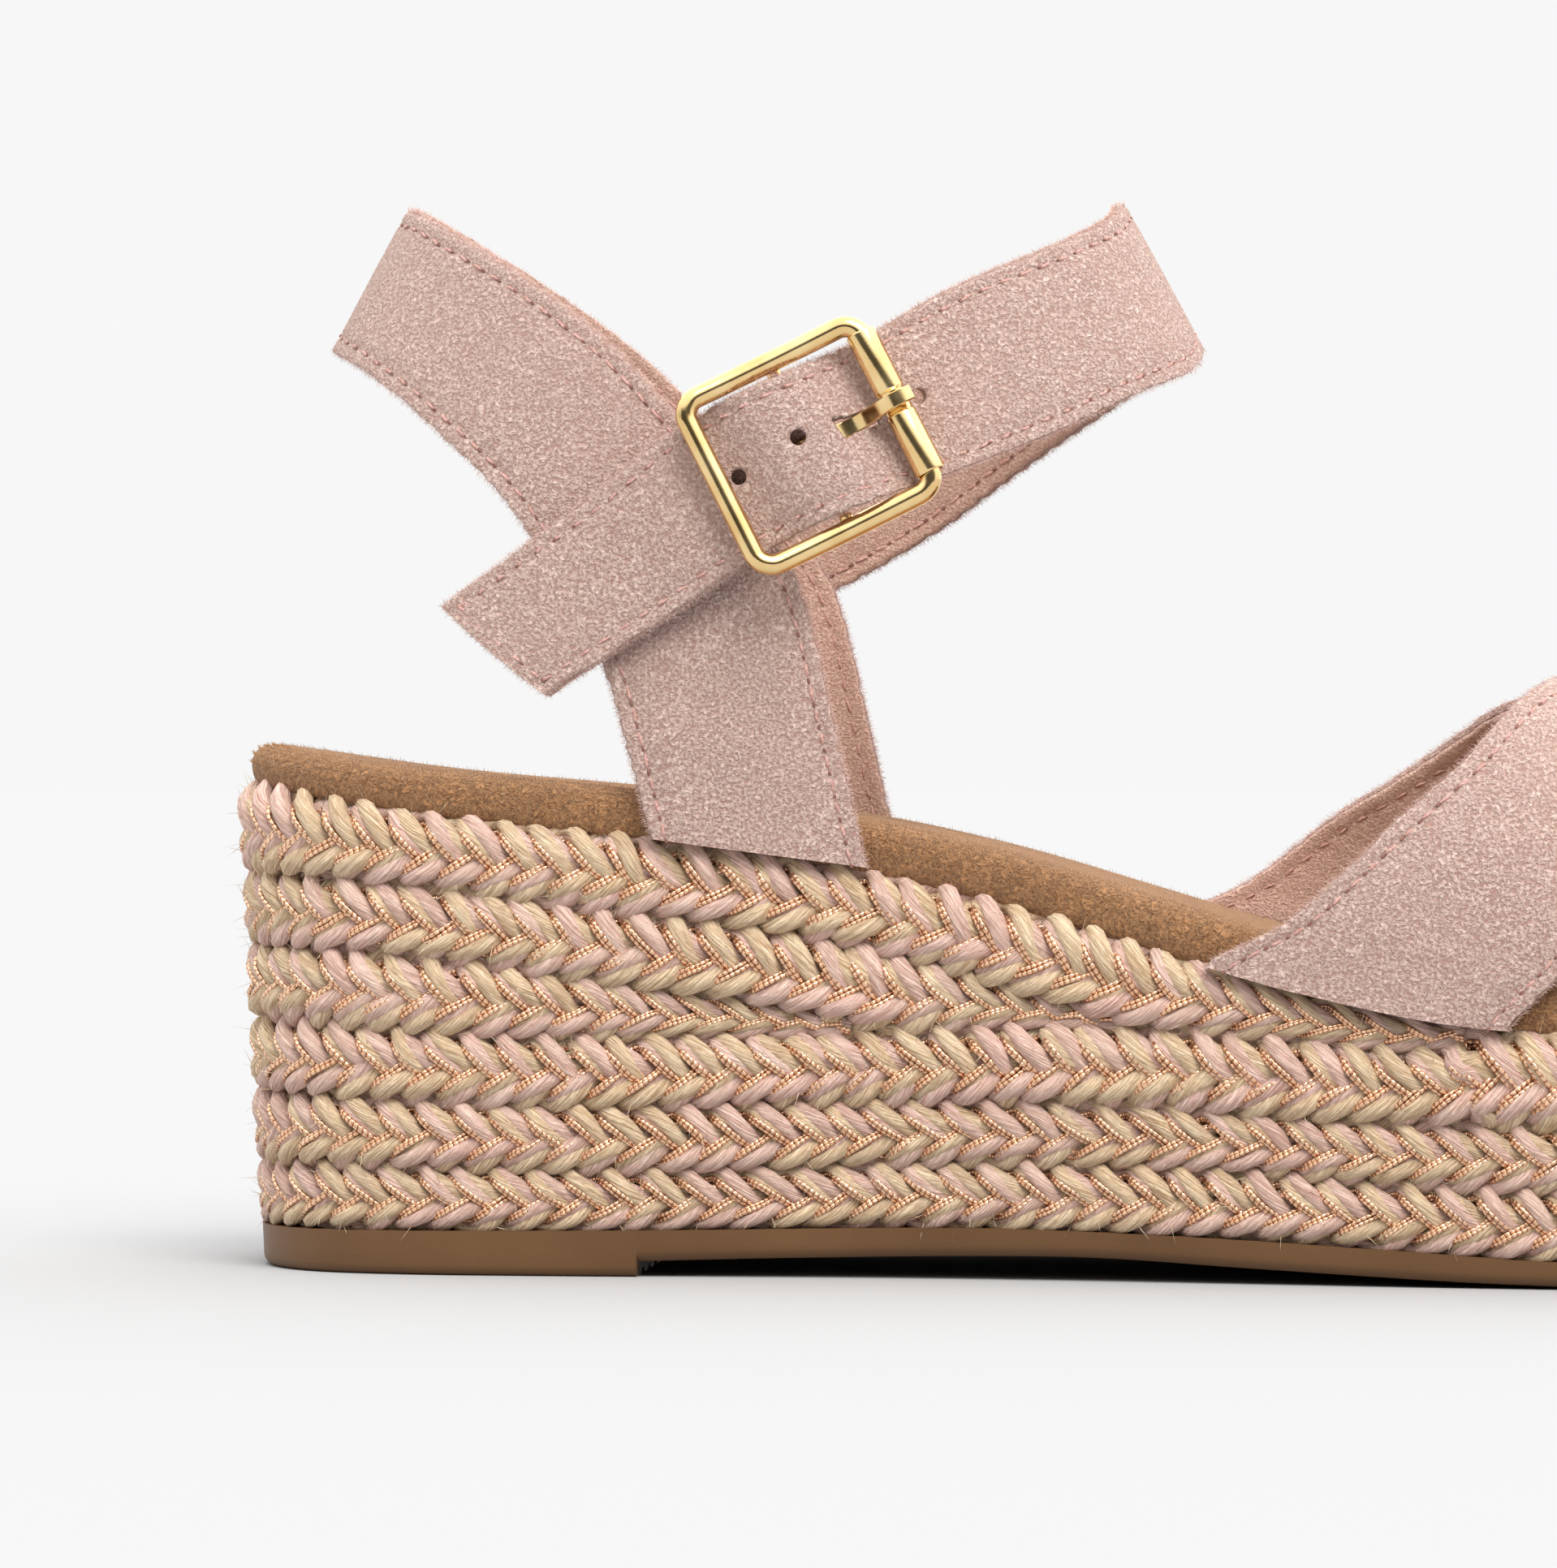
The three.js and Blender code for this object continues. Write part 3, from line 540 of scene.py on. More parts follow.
def smooth_ring(points, steps=60):
    """A closed centripetal Catmull-Rom curve through points, as many short steps."""
    pieces = []
    t = np.linspace(0, 1, steps, endpoint=False)[:, None]
    for i in range(len(points)):
        a, b, c, d = (points[(i + k) % len(points)] for k in (-1, 0, 1, 2))
        ab, bc, cd = (np.sqrt(np.linalg.norm(q - p)) for p, q in ((a, b), (b, c), (c, d)))
        leave = ((b - a) / ab - (c - a) / (ab + bc) + (c - b) / bc) * bc
        arrive = ((c - b) / bc - (d - b) / (bc + cd) + (d - c) / cd) * bc
        pieces.append(b + leave * t + (3 * (c - b) - 2 * leave - arrive) * t ** 2
                      + (2 * (b - c) + leave + arrive) * t ** 3)
    return np.concatenate(pieces)


ring_line = smooth_ring(OUTLINE_POINTS)
ring_line = np.vstack([ring_line, ring_line[:1]])
ring_steps = np.linalg.norm(np.diff(ring_line, axis=0), axis=1)
ring_length = np.concatenate([[0], np.cumsum(ring_steps)])
ring_turn = ring_length / ring_length[-1]
ring_slope = np.gradient(ring_line, ring_length, axis=0)
ring_slope[0] = ring_slope[-1] = (ring_line[1] - ring_line[-2]) / (ring_steps[0] + ring_steps[-1])


def outline(turn, inward=0.0):
    """Forward and across of the wall's outline at a turn, moved inward."""
    u = np.mod(turn, 1.0)
    forward, across, ahead, aside = (
        np.interp(u, ring_turn, column) for column in (*ring_line.T, *ring_slope.T))
    length = np.hypot(ahead, aside)
    return forward - aside / length * inward, across + ahead / length * inward


def turn_at(forward, side, inward=0.0):
    """The turn at which one side of the outline passes a distance forward."""
    low, high = np.zeros_like(forward, float), np.full_like(forward, 0.45, float)
    for _ in range(30):
        middle = (low + high) / 2
        short = outline(side * middle, inward)[0] < forward
        low, high = np.where(short, middle, low), np.where(short, high, middle)
    return side * low


def on_wall(turn, inward, height):
    """A point at an inset from the leaning wall, at a height that follows the shoe."""
    z = height(outline(turn, inward)[0])
    forward, across = outline(turn, inward + wall_inset(z))
    return np.stack([HEEL_X + forward, across, z], axis=-1)


def raised(height, by):
    return lambda forward: height(forward) + by


print("outline length:", round(ring_length[-1], 1), "mm")

# %% Meshes from rows of points
def piece_from(name, points, faces, *materials, sharp=None):
    """A closed mesh from the drawing's millimetres, with its faces turned outwards."""
    mesh = bpy.data.meshes.new(name)
    placed = (np.asarray(points, float).reshape(-1, 3) + SHIFT) * 0.001
    mesh.from_pydata(placed.tolist(), [], faces)
    shape = bmesh.new()
    shape.from_mesh(mesh)
    bmesh.ops.remove_doubles(shape, verts=shape.verts, dist=2e-6)
    bmesh.ops.recalc_face_normals(shape, faces=shape.faces)
    shape.to_mesh(mesh)
    shape.free()
    mesh.shade_smooth()
    if sharp:
        mesh.set_sharp_from_angle(angle=math.radians(sharp))
    for material in materials:
        mesh.materials.append(material)
    made = bpy.data.objects.new(name, mesh)
    scene.collection.objects.link(made)
    return made


def loft_faces(rows, around, closed=False):
    """Faces between equal loops, with the two end loops closed by strips."""
    faces = []
    for row in range(rows if closed else rows - 1):
        here, there = row * around, ((row + 1) % rows) * around
        for i in range(around):
            j = (i + 1) % around
            faces.append((here + i, here + j, there + j, there + i))
    if not closed:
        for start in (0, (rows - 1) * around):
            for i in range((around - 1) // 2):
                faces.append((start + i, start + i + 1,
                              start + around - 2 - i, start + around - 1 - i))
    return faces


def finished(piece, body, slot, *replaced):
    """Hands a piece to the frame: its body and the nodes it stands for. The slot is not used."""
    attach(piece, body)
    if replaced:
        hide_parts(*replaced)
    print(f"{piece.name}: {len(piece.data.polygons)} faces, rides on {body}")
    return piece


# %% [markdown]
# ## The sole
#
# A moulding with a heel pad that stands on the ground, an arch that lifts off
# it after a small step, and a thin forefoot. It is lofted from rings: down the
# wall, round the lower edge, and in across the tread to the middle line. The
# tread's herringbone is real relief on the underside.

# %% Rubber sole
def underside(forward):
    """How far the sole's underside stands off the ground."""
    arch = through([[53.5, 1.9], [75, 2.5], [105, 3.0], [130, 1.9], [155, 0.7], [178, 0.0]])
    off_pad = (forward > 53.45) & (forward < 178)
    return np.where(off_pad, arch(forward), 0.0) + toe_spring(forward)


def middle_line(forward, across):
    """The point of the shoe's middle line that a wall point faces."""
    along = np.clip(forward, 27.0, 214.0)
    return along, np.interp(along, [27, 90, 214], [0.0, -0.3, 1.5])


def sole_turns():
    """Turns round the wall, with extra ones either side of the heel pad's step."""
    turns = np.arange(0, 1, 1 / 360)
    for side in (1, -1):
        for forward in (52.9, 53.4, 53.5, 54.2):
            turns = np.append(turns, np.mod(turn_at(np.array(forward), side), 1.0))
    return np.unique(np.round(turns, 7))


def make_sole():
    turns = sole_turns()
    rounding = 1.3
    loops = []
    for inward, share, up in [(9.0, 1.0, 0.0), (0.3, 1.0, 0.0), (0.3, 0.55, 0.0)]:
        base = outline(turns, inward)[0]
        z = up + underside(base) + (over_sole(base) - underside(base)) * share
        forward, across = outline(turns, inward + wall_inset(z))
        loops.append(np.stack([HEEL_X + forward, across, z], axis=-1))
    for angle in np.linspace(0, math.pi / 2, 6):
        inward = 0.3 + rounding * (1 - math.cos(angle))
        base = outline(turns, inward)[0]
        z = underside(base) + rounding * (1 - math.sin(angle))
        forward, across = outline(turns, inward + wall_inset(z))
        loops.append(np.stack([HEEL_X + forward, across, z], axis=-1))
    rim = loops[-1]
    forward, across = middle_line(rim[:, 0] - HEEL_X, rim[:, 1])
    for share in np.linspace(0, 1, 26)[1:]:
        x = rim[:, 0] + (HEEL_X + forward - rim[:, 0]) * share
        y = rim[:, 1] + (across - rim[:, 1]) * share
        margin = np.hypot(rim[:, 0] - x, rim[:, 1] - y)
        wave = np.sin((x + np.abs(y - 0.5) * 0.8) * 2 * math.pi / 6.0)
        groove = 0.7 * np.clip(wave * 2.5 - 0.6, 0, 1) * np.clip((margin - 3.5) / 1.0, 0, 1)
        loops.append(np.stack([x, y, underside(x - HEEL_X) + groove], axis=-1))
    top = loops[0]
    forward, across = middle_line(top[:, 0] - HEEL_X, top[:, 1])
    lid = np.stack([HEEL_X + forward, across, over_sole(forward)], axis=-1)
    loops.insert(0, lid)
    faces = loft_faces(len(loops), len(turns))[: (len(loops) - 1) * len(turns)]
    return piece_from("rubber_sole", loops, faces, rubber, sharp=38)


finished(make_sole(), "shoe", "rubber_sole", "outsole")

# %% [markdown]
# ## The footbed
#
# Six millimetres of foam under microsuede, turned under at the edge: the side
# bulges a little, the rim is soft and round, and the top dips under the heel
# and rises at the arch. It is a stuffed piece but a thin, glued one that keeps
# its moulded form, so it is lofted in rings and not blown up by simulation.

# %% Padded footbed
def rim_line(height):
    """A height in the footbed's side, pressed thinner toward the heel."""
    return lambda forward: feather_line(forward) + height * (
        1 - 0.2 * np.exp(-(np.asarray(forward) / 55.0) ** 2))


def make_footbed():
    turns = np.arange(0, 1, 1 / 400)
    loops = []
    for inward, height in [
            (9.0, 0.45), (3.0, 0.45), (2.3, 0.5), (1.85, 1.0), (1.6, 2.0), (1.5, 3.2),
            (1.6, 4.3), (1.95, 5.3), (2.5, 6.1), (3.2, 6.65), (4.1, 7.0), (5.4, 7.2)]:
        loops.append(on_wall(turns, inward, rim_line(height)))
    rim = loops[-1]
    forward, across = middle_line(rim[:, 0] - HEEL_X, rim[:, 1])
    for share in np.linspace(0, 1, 16)[1:]:
        x = rim[:, 0] + (HEEL_X + forward - rim[:, 0]) * share
        y = rim[:, 1] + (across - rim[:, 1]) * share
        place_forward = x - HEEL_X
        cup = -1.1 * np.exp(-((place_forward - 36) / 26) ** 2)
        ball = -0.5 * np.exp(-((place_forward - 190) / 30) ** 2)
        arch = 0.5 * np.exp(-((place_forward - 110) / 30) ** 2)
        crown = (cup + ball + arch) * (1 - (1 - share) ** 2)
        loops.append(np.stack([x, y, rim_line(7.2)(place_forward) + crown], axis=-1))
    under = loops[0]
    forward, across = middle_line(under[:, 0] - HEEL_X, under[:, 1])
    loops.insert(0, np.stack([HEEL_X + forward, across, feather_line(forward) + 0.45], axis=-1))
    faces = loft_faces(len(loops), len(turns))[: (len(loops) - 1) * len(turns)]
    return piece_from("microsuede_footbed", loops, faces, microsuede)


footbed = make_footbed()
finished(footbed, "shoe", "footbed_microsuede", "footbed_cover", "footbed_foam")

# %% [markdown]
# ## Geometry Nodes: how a tree is made and run
#
# A tree gets named inputs, and a modifier that runs it gets its values by each
# input's identifier. The evaluated result is kept as a plain mesh, and the
# modifier goes with its guide object.

# %% Trees and guides
def new_tree(name, *inputs):
    """A Geometry Nodes tree with one geometry in and out, and named inputs."""
    tree = bpy.data.node_groups.new(name, "GeometryNodeTree")
    tree.interface.new_socket("Geometry", in_out="INPUT", socket_type="NodeSocketGeometry")
    tree.interface.new_socket("Geometry", in_out="OUTPUT", socket_type="NodeSocketGeometry")
    for label, kind in inputs:
        tree.interface.new_socket(label, in_out="INPUT", socket_type="NodeSocket" + kind)
    source = tree.nodes.new("NodeGroupInput")
    return tree, {socket.name: Wire(socket) for socket in source.outputs if socket.name}


def close_tree(tree, geometry, material):
    """Ends a tree as the export needs it: real geometry, smooth, with its material."""
    geometry = add_node(tree, "GeometryNodeRealizeInstances", {"Geometry": geometry})
    geometry = add_node(tree, "GeometryNodeSetShadeSmooth", {"Geometry": geometry})
    geometry = add_node(tree, "GeometryNodeSetMaterial", {
        "Geometry": geometry, "Material": material})
    feed(tree.nodes.new("NodeGroupOutput").inputs[0], geometry)


def grown(guide, tree, name, **values):
    """Runs a tree on a guide object and keeps the result as a plain mesh object."""
    modifier = guide.modifiers.new("grow", "NODES")
    modifier.node_group = tree
    for item in tree.interface.items_tree:
        label = item.name.replace(" ", "_")
        if item.in_out == "INPUT" and label in values:
            modifier[item.identifier] = values[label]
    graph = bpy.context.evaluated_depsgraph_get()
    mesh = bpy.data.meshes.new_from_object(guide.evaluated_get(graph), depsgraph=graph)
    mesh.name = name
    made = bpy.data.objects.new(name, mesh)
    scene.collection.objects.link(made)
    bpy.data.objects.remove(guide)
    return made


def guide_lines(name, lines, closed=False, **attributes):
    """Loose edges through rows of millimetre points, with attributes on the points."""
    points, edges = np.concatenate(lines), []
    start = 0
    for line in lines:
        count = len(line)
        edges += [(start + i, start + (i + 1) % count) for i in range(count - (not closed))]
        start += count
    mesh = bpy.data.meshes.new(name)
    mesh.from_pydata(((points + SHIFT) * 0.001).tolist(), edges, [])
    for label, rows in attributes.items():
        values = np.concatenate(rows)
        vector = values.ndim == 2
        made = mesh.attributes.new(label, "FLOAT_VECTOR" if vector else "FLOAT", "POINT")
        made.data.foreach_set("vector" if vector else "value", values.ravel())
    guide = bpy.data.objects.new(name, mesh)
    scene.collection.objects.link(guide)
    return guide


def named(tree, label, kind="FLOAT"):
    """Reads a named attribute inside a Geometry Nodes tree."""
    return add_node(tree, "GeometryNodeInputNamedAttribute", {"Name": label}, data_type=kind)


def unit(vectors):
    return vectors / np.linalg.norm(vectors, axis=-1, keepdims=True)


# %% [markdown]
# ## The braids
#
# Each course is a flat braid of five strands. A strand is two jute plies
# twisted round each other, one pale and one pink, with two copper cords along
# it. Going forward, a strand swings up and down once for every pitch, and
# passes over on its way in from an edge and under on its way out, a fifth of a
# pitch behind its neighbour. That single rule makes the long slanting legs and
# the arrowheads, so the whole braid is one tree: a guide line is copied for
# every thread, each copy is moved by the rule and swept with a round profile.
#
# The guide lines carry what the rule needs: the half height of the course, and
# which way is ahead, up and out. Where a course tapers out beside the arch its
# half height shrinks, and the yarns shrink with it.

# %% The braid's tree
STRANDS = 5
THREADS = 4               # two plies and two cords in each strand
FULL_RISE = 0.0046        # half height of a full course


def build_braid_tree():
    tree, given = new_tree(
        "five_strand_braid", ("Braid Pitch", "Float"), ("Twist Pitch", "Float"),
        ("Ply Radius", "Float"), ("Ply Spread", "Float"), ("Cord Radius", "Float"),
        ("Swing", "Float"), ("Seed", "Float"), ("Yarn", "Material"), ("Cord", "Material"))
    line = add_node(tree, "GeometryNodeMeshToCurve", {"Mesh": given["Geometry"]})
    copies = add_node(tree, "GeometryNodeDuplicateElements", {
        "Geometry": line, "Amount": STRANDS * THREADS}, domain="SPLINE")
    number = Wire(copies.socket.node.outputs[1])
    strand = (number / THREADS).maths("FLOOR")
    thread = number - strand * THREADS
    is_cord = (thread * 0.5).maths("FLOOR")
    along, rise = named(tree, "along"), named(tree, "rise")
    ahead, up, out = (named(tree, label, "FLOAT_VECTOR") for label in ("ahead", "up", "out"))

    where = add_node(tree, "GeometryNodeInputPosition")
    drift = noise(tree, summed(where, combined(tree, strand * 3.1 + given["Seed"], 0.0, 0.0)),
                  95.0, 2.0) - 0.5
    wobble = noise(tree, summed(where, combined(tree, 0.0, number * 1.7 + given["Seed"], 0.0)),
                   210.0, 2.0) - 0.5
    phase = (along / given["Braid Pitch"] + strand / STRANDS) * (2 * math.pi) + drift * 0.7
    full = rise / FULL_RISE
    size = full.clamped(0.6, 1.12)
    sunk = (0.75 - full).clamped(0.0, 1.0) * 0.0014
    reach = (rise - given["Ply Radius"] * size * 0.2).clamped(0.0, 1.0)
    tight = 0.965                            # near one: straight legs, sharp turns
    wave = phase.sin() * tight
    swing = phase.cos()
    crest = (1.0 - wave * wave).maths("SQRT")
    height = reach * wave.maths("ARCSINE") / math.asin(tight) - rise * 0.1 * swing * swing
    slope = reach * swing * tight / crest / math.asin(tight)
    slope = slope * (2 * math.pi) / given["Braid Pitch"]
    lean = (slope * slope + 1.0).maths("SQRT")
    front = (phase * 2 + 0.1).sin() * -1.0   # one where a leg lies on top
    edge = wave * wave                       # each strand dives into the groove at its turn
    depth = (front * given["Swing"] - edge.maths("POWER", 6.0) * 0.0022) * size - sunk

    turn = (along / given["Twist Pitch"]) * (2 * math.pi) + drift * 4.0 + strand * 2.1
    turn = turn + thread * math.pi
    ply_side = turn.cos() * given["Ply Spread"]
    ply_depth = turn.sin() * given["Ply Spread"] * 0.5
    trailing = ((phase + math.pi / 4).cos() * 2.6).maths("TANH")
    second = thread - 2.0
    cord_side = trailing * given["Ply Spread"] * (2.2 - second * 0.75 + drift * 0.7)
    cord_depth = given["Ply Radius"] * (0.7 + second * 0.28 + wobble * 0.5)
    side = (ply_side * (1 - is_cord) + cord_side * is_cord) * size
    deep = (ply_depth * (1 - is_cord) + cord_depth * is_cord) * size + wobble * 0.0003
    side = side + wobble * 0.0005

    moved = summed(
        where, scaled(up, height + side / lean), scaled(ahead, side * slope / lean * -1.0),
        scaled(out, depth + deep))
    placed = add_node(tree, "GeometryNodeSetPosition", {"Geometry": copies, "Position": moved})
    for label, value in (("yarn_along", along + strand * 0.37), ("yarn_thread", thread)):
        placed = add_node(tree, "GeometryNodeStoreNamedAttribute", {
            "Geometry": placed, "Name": label, "Value": value}, domain="POINT")
    split = tree.nodes.new("GeometryNodeSeparateGeometry")
    split.domain = "CURVE"
    feed(split.inputs["Geometry"], placed)
    feed(split.inputs["Selection"], is_cord)
    swept = []
    ply_size = given["Ply Radius"] * size * (
        0.9 + wobble * 0.3 + front * 0.07 + swing * swing * 0.16)
    cord_size = given["Cord Radius"] * (size * 0.5 + 0.5)
    for output, radius, sides, material in (
            (0, cord_size, 5, given["Cord"]), (1, ply_size, 8, given["Yarn"])):
        circle = add_node(tree, "GeometryNodeCurvePrimitiveCircle", {
            "Resolution": sides, "Radius": 1.0})
        circle = add_node(tree, "GeometryNodeStoreNamedAttribute", {
            "Geometry": circle, "Name": "yarn_round",
            "Value": add_node(tree, "GeometryNodeInputPosition")},
            domain="POINT", data_type="FLOAT_VECTOR")
        mesh = add_node(tree, "GeometryNodeCurveToMesh", {
            "Curve": Wire(split.outputs[output]), "Profile Curve": circle,
            "Scale": radius, "Fill Caps": True})
        swept.append(add_node(tree, "GeometryNodeSetMaterial", {
            "Geometry": mesh, "Material": material}))
    joined = tree.nodes.new("GeometryNodeJoinGeometry")
    for geometry in swept:
        feed(joined.inputs[0], geometry)
    whole = add_node(tree, "GeometryNodeRealizeInstances", {"Geometry": Wire(joined.outputs[0])})
    whole = add_node(tree, "GeometryNodeSetShadeSmooth", {"Geometry": whole})
    feed(tree.nodes.new("NodeGroupOutput").inputs[0], whole)
    return tree


braid_tree = build_braid_tree()
print("braid tree:", len(braid_tree.nodes), "nodes")

# %% Braid guide lines
BRAID_CENTRE = 2.0        # the braid's middle, inward of the wall


def higher(first, second):
    return lambda forward: np.maximum(first(forward), second(forward))


def over_forefoot(forward):
    return np.where(forward < 156, over_course_4(forward), feather_line(forward) + 0.45)


def braid_guide(number, low, high, reach=None, step=0.9):
    """A course's middle line with its half height and its three directions."""
    if reach:
        ends = [turn_at(np.array(float(reach)), side) for side in (-1, 1)]
        dense = np.linspace(ends[0], ends[1], 3000)
    else:
        dense = np.linspace(-0.27, 0.73, 3001)
    middle = lambda forward: (low(forward) + np.maximum(high(forward), low(forward) + 0.4)) / 2
    line = on_wall(dense, BRAID_CENTRE, middle)
    length = np.concatenate([[0], np.cumsum(np.linalg.norm(np.diff(line, axis=0), axis=1))])
    count = round(length[-1] / step)
    stops = np.linspace(0, length[-1], count + (1 if reach else 0), endpoint=bool(reach))
    turns = np.interp(stops, length, dense)
    centre = on_wall(turns, BRAID_CENTRE, middle)
    bottom = on_wall(turns, BRAID_CENTRE, low)
    top = on_wall(turns, BRAID_CENTRE, lambda forward: np.maximum(high(forward), low(forward) + 0.4))
    ahead = unit(on_wall(turns + 0.002, BRAID_CENTRE, middle)
                 - on_wall(turns - 0.002, BRAID_CENTRE, middle))
    up = top - bottom
    up = unit(up - (up * ahead).sum(1, keepdims=True) * ahead)
    rise = np.linalg.norm(top - bottom, axis=1) / 2000
    guide = guide_lines(
        f"guide_{number}", [centre], closed=not reach, along=[stops * 0.001], rise=[rise],
        ahead=[ahead], up=[up], out=[np.cross(ahead, up)])
    return guide, length[-1] * 0.001


COURSES = {
    1: (higher(under_course_1, over_course_4), raised(feather_line, 0.45), 155),
    2: (higher(under_course_2, over_course_4), under_course_1, 114),
    3: (over_course_4, under_course_2, 80),
    4: (over_course_5, over_forefoot, None),
    5: (over_course_6, over_course_5, None),
    6: (raised(over_sole, 0.15), over_course_6, None),
}

# %% Six courses of braid
braids = {}
for number, (low, high, reach) in COURSES.items():
    guide, length = braid_guide(number, low, high, reach)
    braids[number] = grown(
        guide, braid_tree, f"jute_braid_{number}",
        Braid_Pitch=length / round(length / 0.0232), Twist_Pitch=length / round(length / 0.0185),
        Ply_Radius=0.00118, Ply_Spread=0.00068, Cord_Radius=0.00031, Swing=0.00095,
        Seed=float(number) * 5.3, Yarn=jute, Cord=copper)
    print(f"course {number}: {length * 1000:.0f} mm, {len(braids[number].data.polygons)} faces")

# %% [markdown]
# Behind the braids runs the glued canvas that they are sewn to. It shows only
# as the brown at the bottom of the gaps between the strands.

# %% Canvas behind the braids
def make_backing():
    turns = np.arange(0, 1, 1 / 300)
    loops = []
    for inward, share in ((6.0, 0.0), (3.1, 0.0), *((3.1, s) for s in np.linspace(0.05, 1, 12)),
                          (6.0, 1.0)):
        height = lambda forward, s=share: (over_sole(forward) + 0.1
                                           + (feather_line(forward) + 0.4 - over_sole(forward)) * s)
        loops.append(on_wall(turns, inward, height))
    faces = loft_faces(len(loops), len(turns), closed=True)
    return piece_from("braid_canvas", loops, faces, canvas, sharp=50)


canvas = make_crumb("glued_canvas", colour(186, 142, 106), colour(150, 108, 78), 900.0)
finished(make_backing(), "shoe", "jute_braid")
# %% [markdown]
# Loose fibres stand off the yarns and off every raw suede edge. One hair is a
# thin three-sided cone with a bend in it. One tree sows hairs on a surface,
# and another plants them along an edge; both pick each hair's lean, twist and
# length at random from a fixed seed.

# %% Fibre trees
def bent_hair(tree, thickness):
    """A three-sided hair, one unit long, that curls over to one side."""
    cone = add_node(tree, "GeometryNodeMeshCone", {
        "Vertices": 3, "Side Segments": 3, "Radius Top": 0.0, "Radius Bottom": thickness,
        "Depth": 1.0}, fill_type="NGON")
    where = add_node(tree, "GeometryNodeInputPosition")
    height = add_node(tree, "ShaderNodeSeparateXYZ", {"Vector": where}, output=2)
    curl = combined(tree, height * height * 0.45, 0.0, height * height * -0.12)
    return add_node(tree, "GeometryNodeSetPosition", {"Geometry": cone, "Offset": curl})


def random_value(tree, low, high, seed, kind="FLOAT"):
    node = tree.nodes.new("FunctionNodeRandomValue")
    node.data_type = kind
    first = {"FLOAT": 2, "FLOAT_VECTOR": 0}[kind]
    feed(node.inputs[first], low)
    feed(node.inputs[first + 1], high)
    feed(node.inputs["Seed"], seed)
    return Wire(node.outputs[{"FLOAT": 1, "FLOAT_VECTOR": 0}[kind]])


def plant(tree, points, given, direction):
    """Sets a bent hair on each point, leaning off a direction at random."""
    lean = random_value(tree, (-1.0, -1.0, -1.0), (1.0, 1.0, 1.0), given["Seed"], "FLOAT_VECTOR")
    aim_wire = summed(direction, scaled(lean, given["Lean"]))
    turned = add_node(tree, "FunctionNodeAlignRotationToVector", {"Vector": aim_wire}, axis="Z")
    spin = random_value(tree, 0.0, 6.28, given["Seed"] + 1)
    spun = add_node(tree, "FunctionNodeRotateRotation", {
        "Rotation": turned,
        "Rotate By": add_node(tree, "FunctionNodeEulerToRotation", {
            "Euler": combined(tree, 0.0, 0.0, spin)})}, rotation_space="LOCAL")
    length = random_value(tree, given["Length"] * 0.35, given["Length"], given["Seed"] + 2)
    hair = bent_hair(tree, 1.0)
    return add_node(tree, "GeometryNodeInstanceOnPoints", {
        "Points": points, "Instance": hair, "Rotation": spun,
        "Scale": combined(tree, given["Thickness"], given["Thickness"], length)})


def build_edge_fibres():
    tree, given = new_tree(
        "fibres_along_an_edge", ("Spacing", "Float"), ("Length", "Float"),
        ("Thickness", "Float"), ("Lean", "Float"), ("Seed", "Int"), ("Fibre", "Material"))
    line = add_node(tree, "GeometryNodeMeshToCurve", {"Mesh": given["Geometry"]})
    points = add_node(tree, "GeometryNodeResampleCurve", {
        "Curve": line, "Length": given["Spacing"]}, mode="LENGTH")
    close_tree(tree, plant(tree, points, given, named(tree, "away", "FLOAT_VECTOR")),
               given["Fibre"])
    return tree


def build_surface_fibres():
    tree, given = new_tree(
        "fibres_on_a_surface", ("Density", "Float"), ("Length", "Float"),
        ("Thickness", "Float"), ("Lean", "Float"), ("Seed", "Int"), ("Fibre", "Material"))
    sown = tree.nodes.new("GeometryNodeDistributePointsOnFaces")
    feed(sown.inputs["Mesh"], given["Geometry"])
    feed(sown.inputs["Density"], given["Density"])
    feed(sown.inputs["Seed"], given["Seed"])
    normal = Wire(sown.outputs["Normal"])
    close_tree(tree, plant(tree, Wire(sown.outputs["Points"]), given, normal), given["Fibre"])
    return tree


edge_fibres = build_edge_fibres()
surface_fibres = build_surface_fibres()


def make_fibre(name, root, tip):
    material, tree, shader = new_material(name, Roughness=0.85, Specular_IOR_Level=0.2)
    mottle = noise(tree, object_place(tree), 900.0, 1.0)
    feed(shader.inputs["Base Color"], blended(between(mottle, 0.35, 0.65), root, tip))
    return material


jute_hair = make_fibre("jute_hair", colour(206, 176, 140), colour(238, 224, 200))
suede_hair = make_fibre("suede_hair", colour(205, 168, 158), colour(230, 204, 195))
tan_hair = make_fibre("tan_hair", colour(158, 112, 70), colour(196, 152, 104))
print("fibre trees:", edge_fibres.name, surface_fibres.name)

# %% Braids on the shoe, with their stray hairs
def copy_of(piece):
    """A second object with its own mesh, to grow something from."""
    twin = bpy.data.objects.new(piece.name + "_twin", piece.data.copy())
    scene.collection.objects.link(twin)
    return twin


for number, braid in braids.items():
    hairs = grown(copy_of(braid), surface_fibres, f"jute_hairs_{number}", Density=34000.0,
                  Length=0.004, Thickness=0.00005, Lean=0.9, Seed=number, Fibre=jute_hair)
    finished(hairs, "shoe", "jute_braid")
    finished(braid, "shoe", "jute_braid", f"braid_course_{number}")

# %% [markdown]
# ## Suede bands
#
# All the bands are two layers: suede outside, a thin lining inside, cut raw
# together and sewn along both edges. A band is a surface with two directions,
# along and across, and a height above the skin. Its section has rounded edges
# and a shallow furrow where the seam pulls it down, so the seam is real relief.
# The surfaces are the drawing's own: round the ankle, and over the instep.

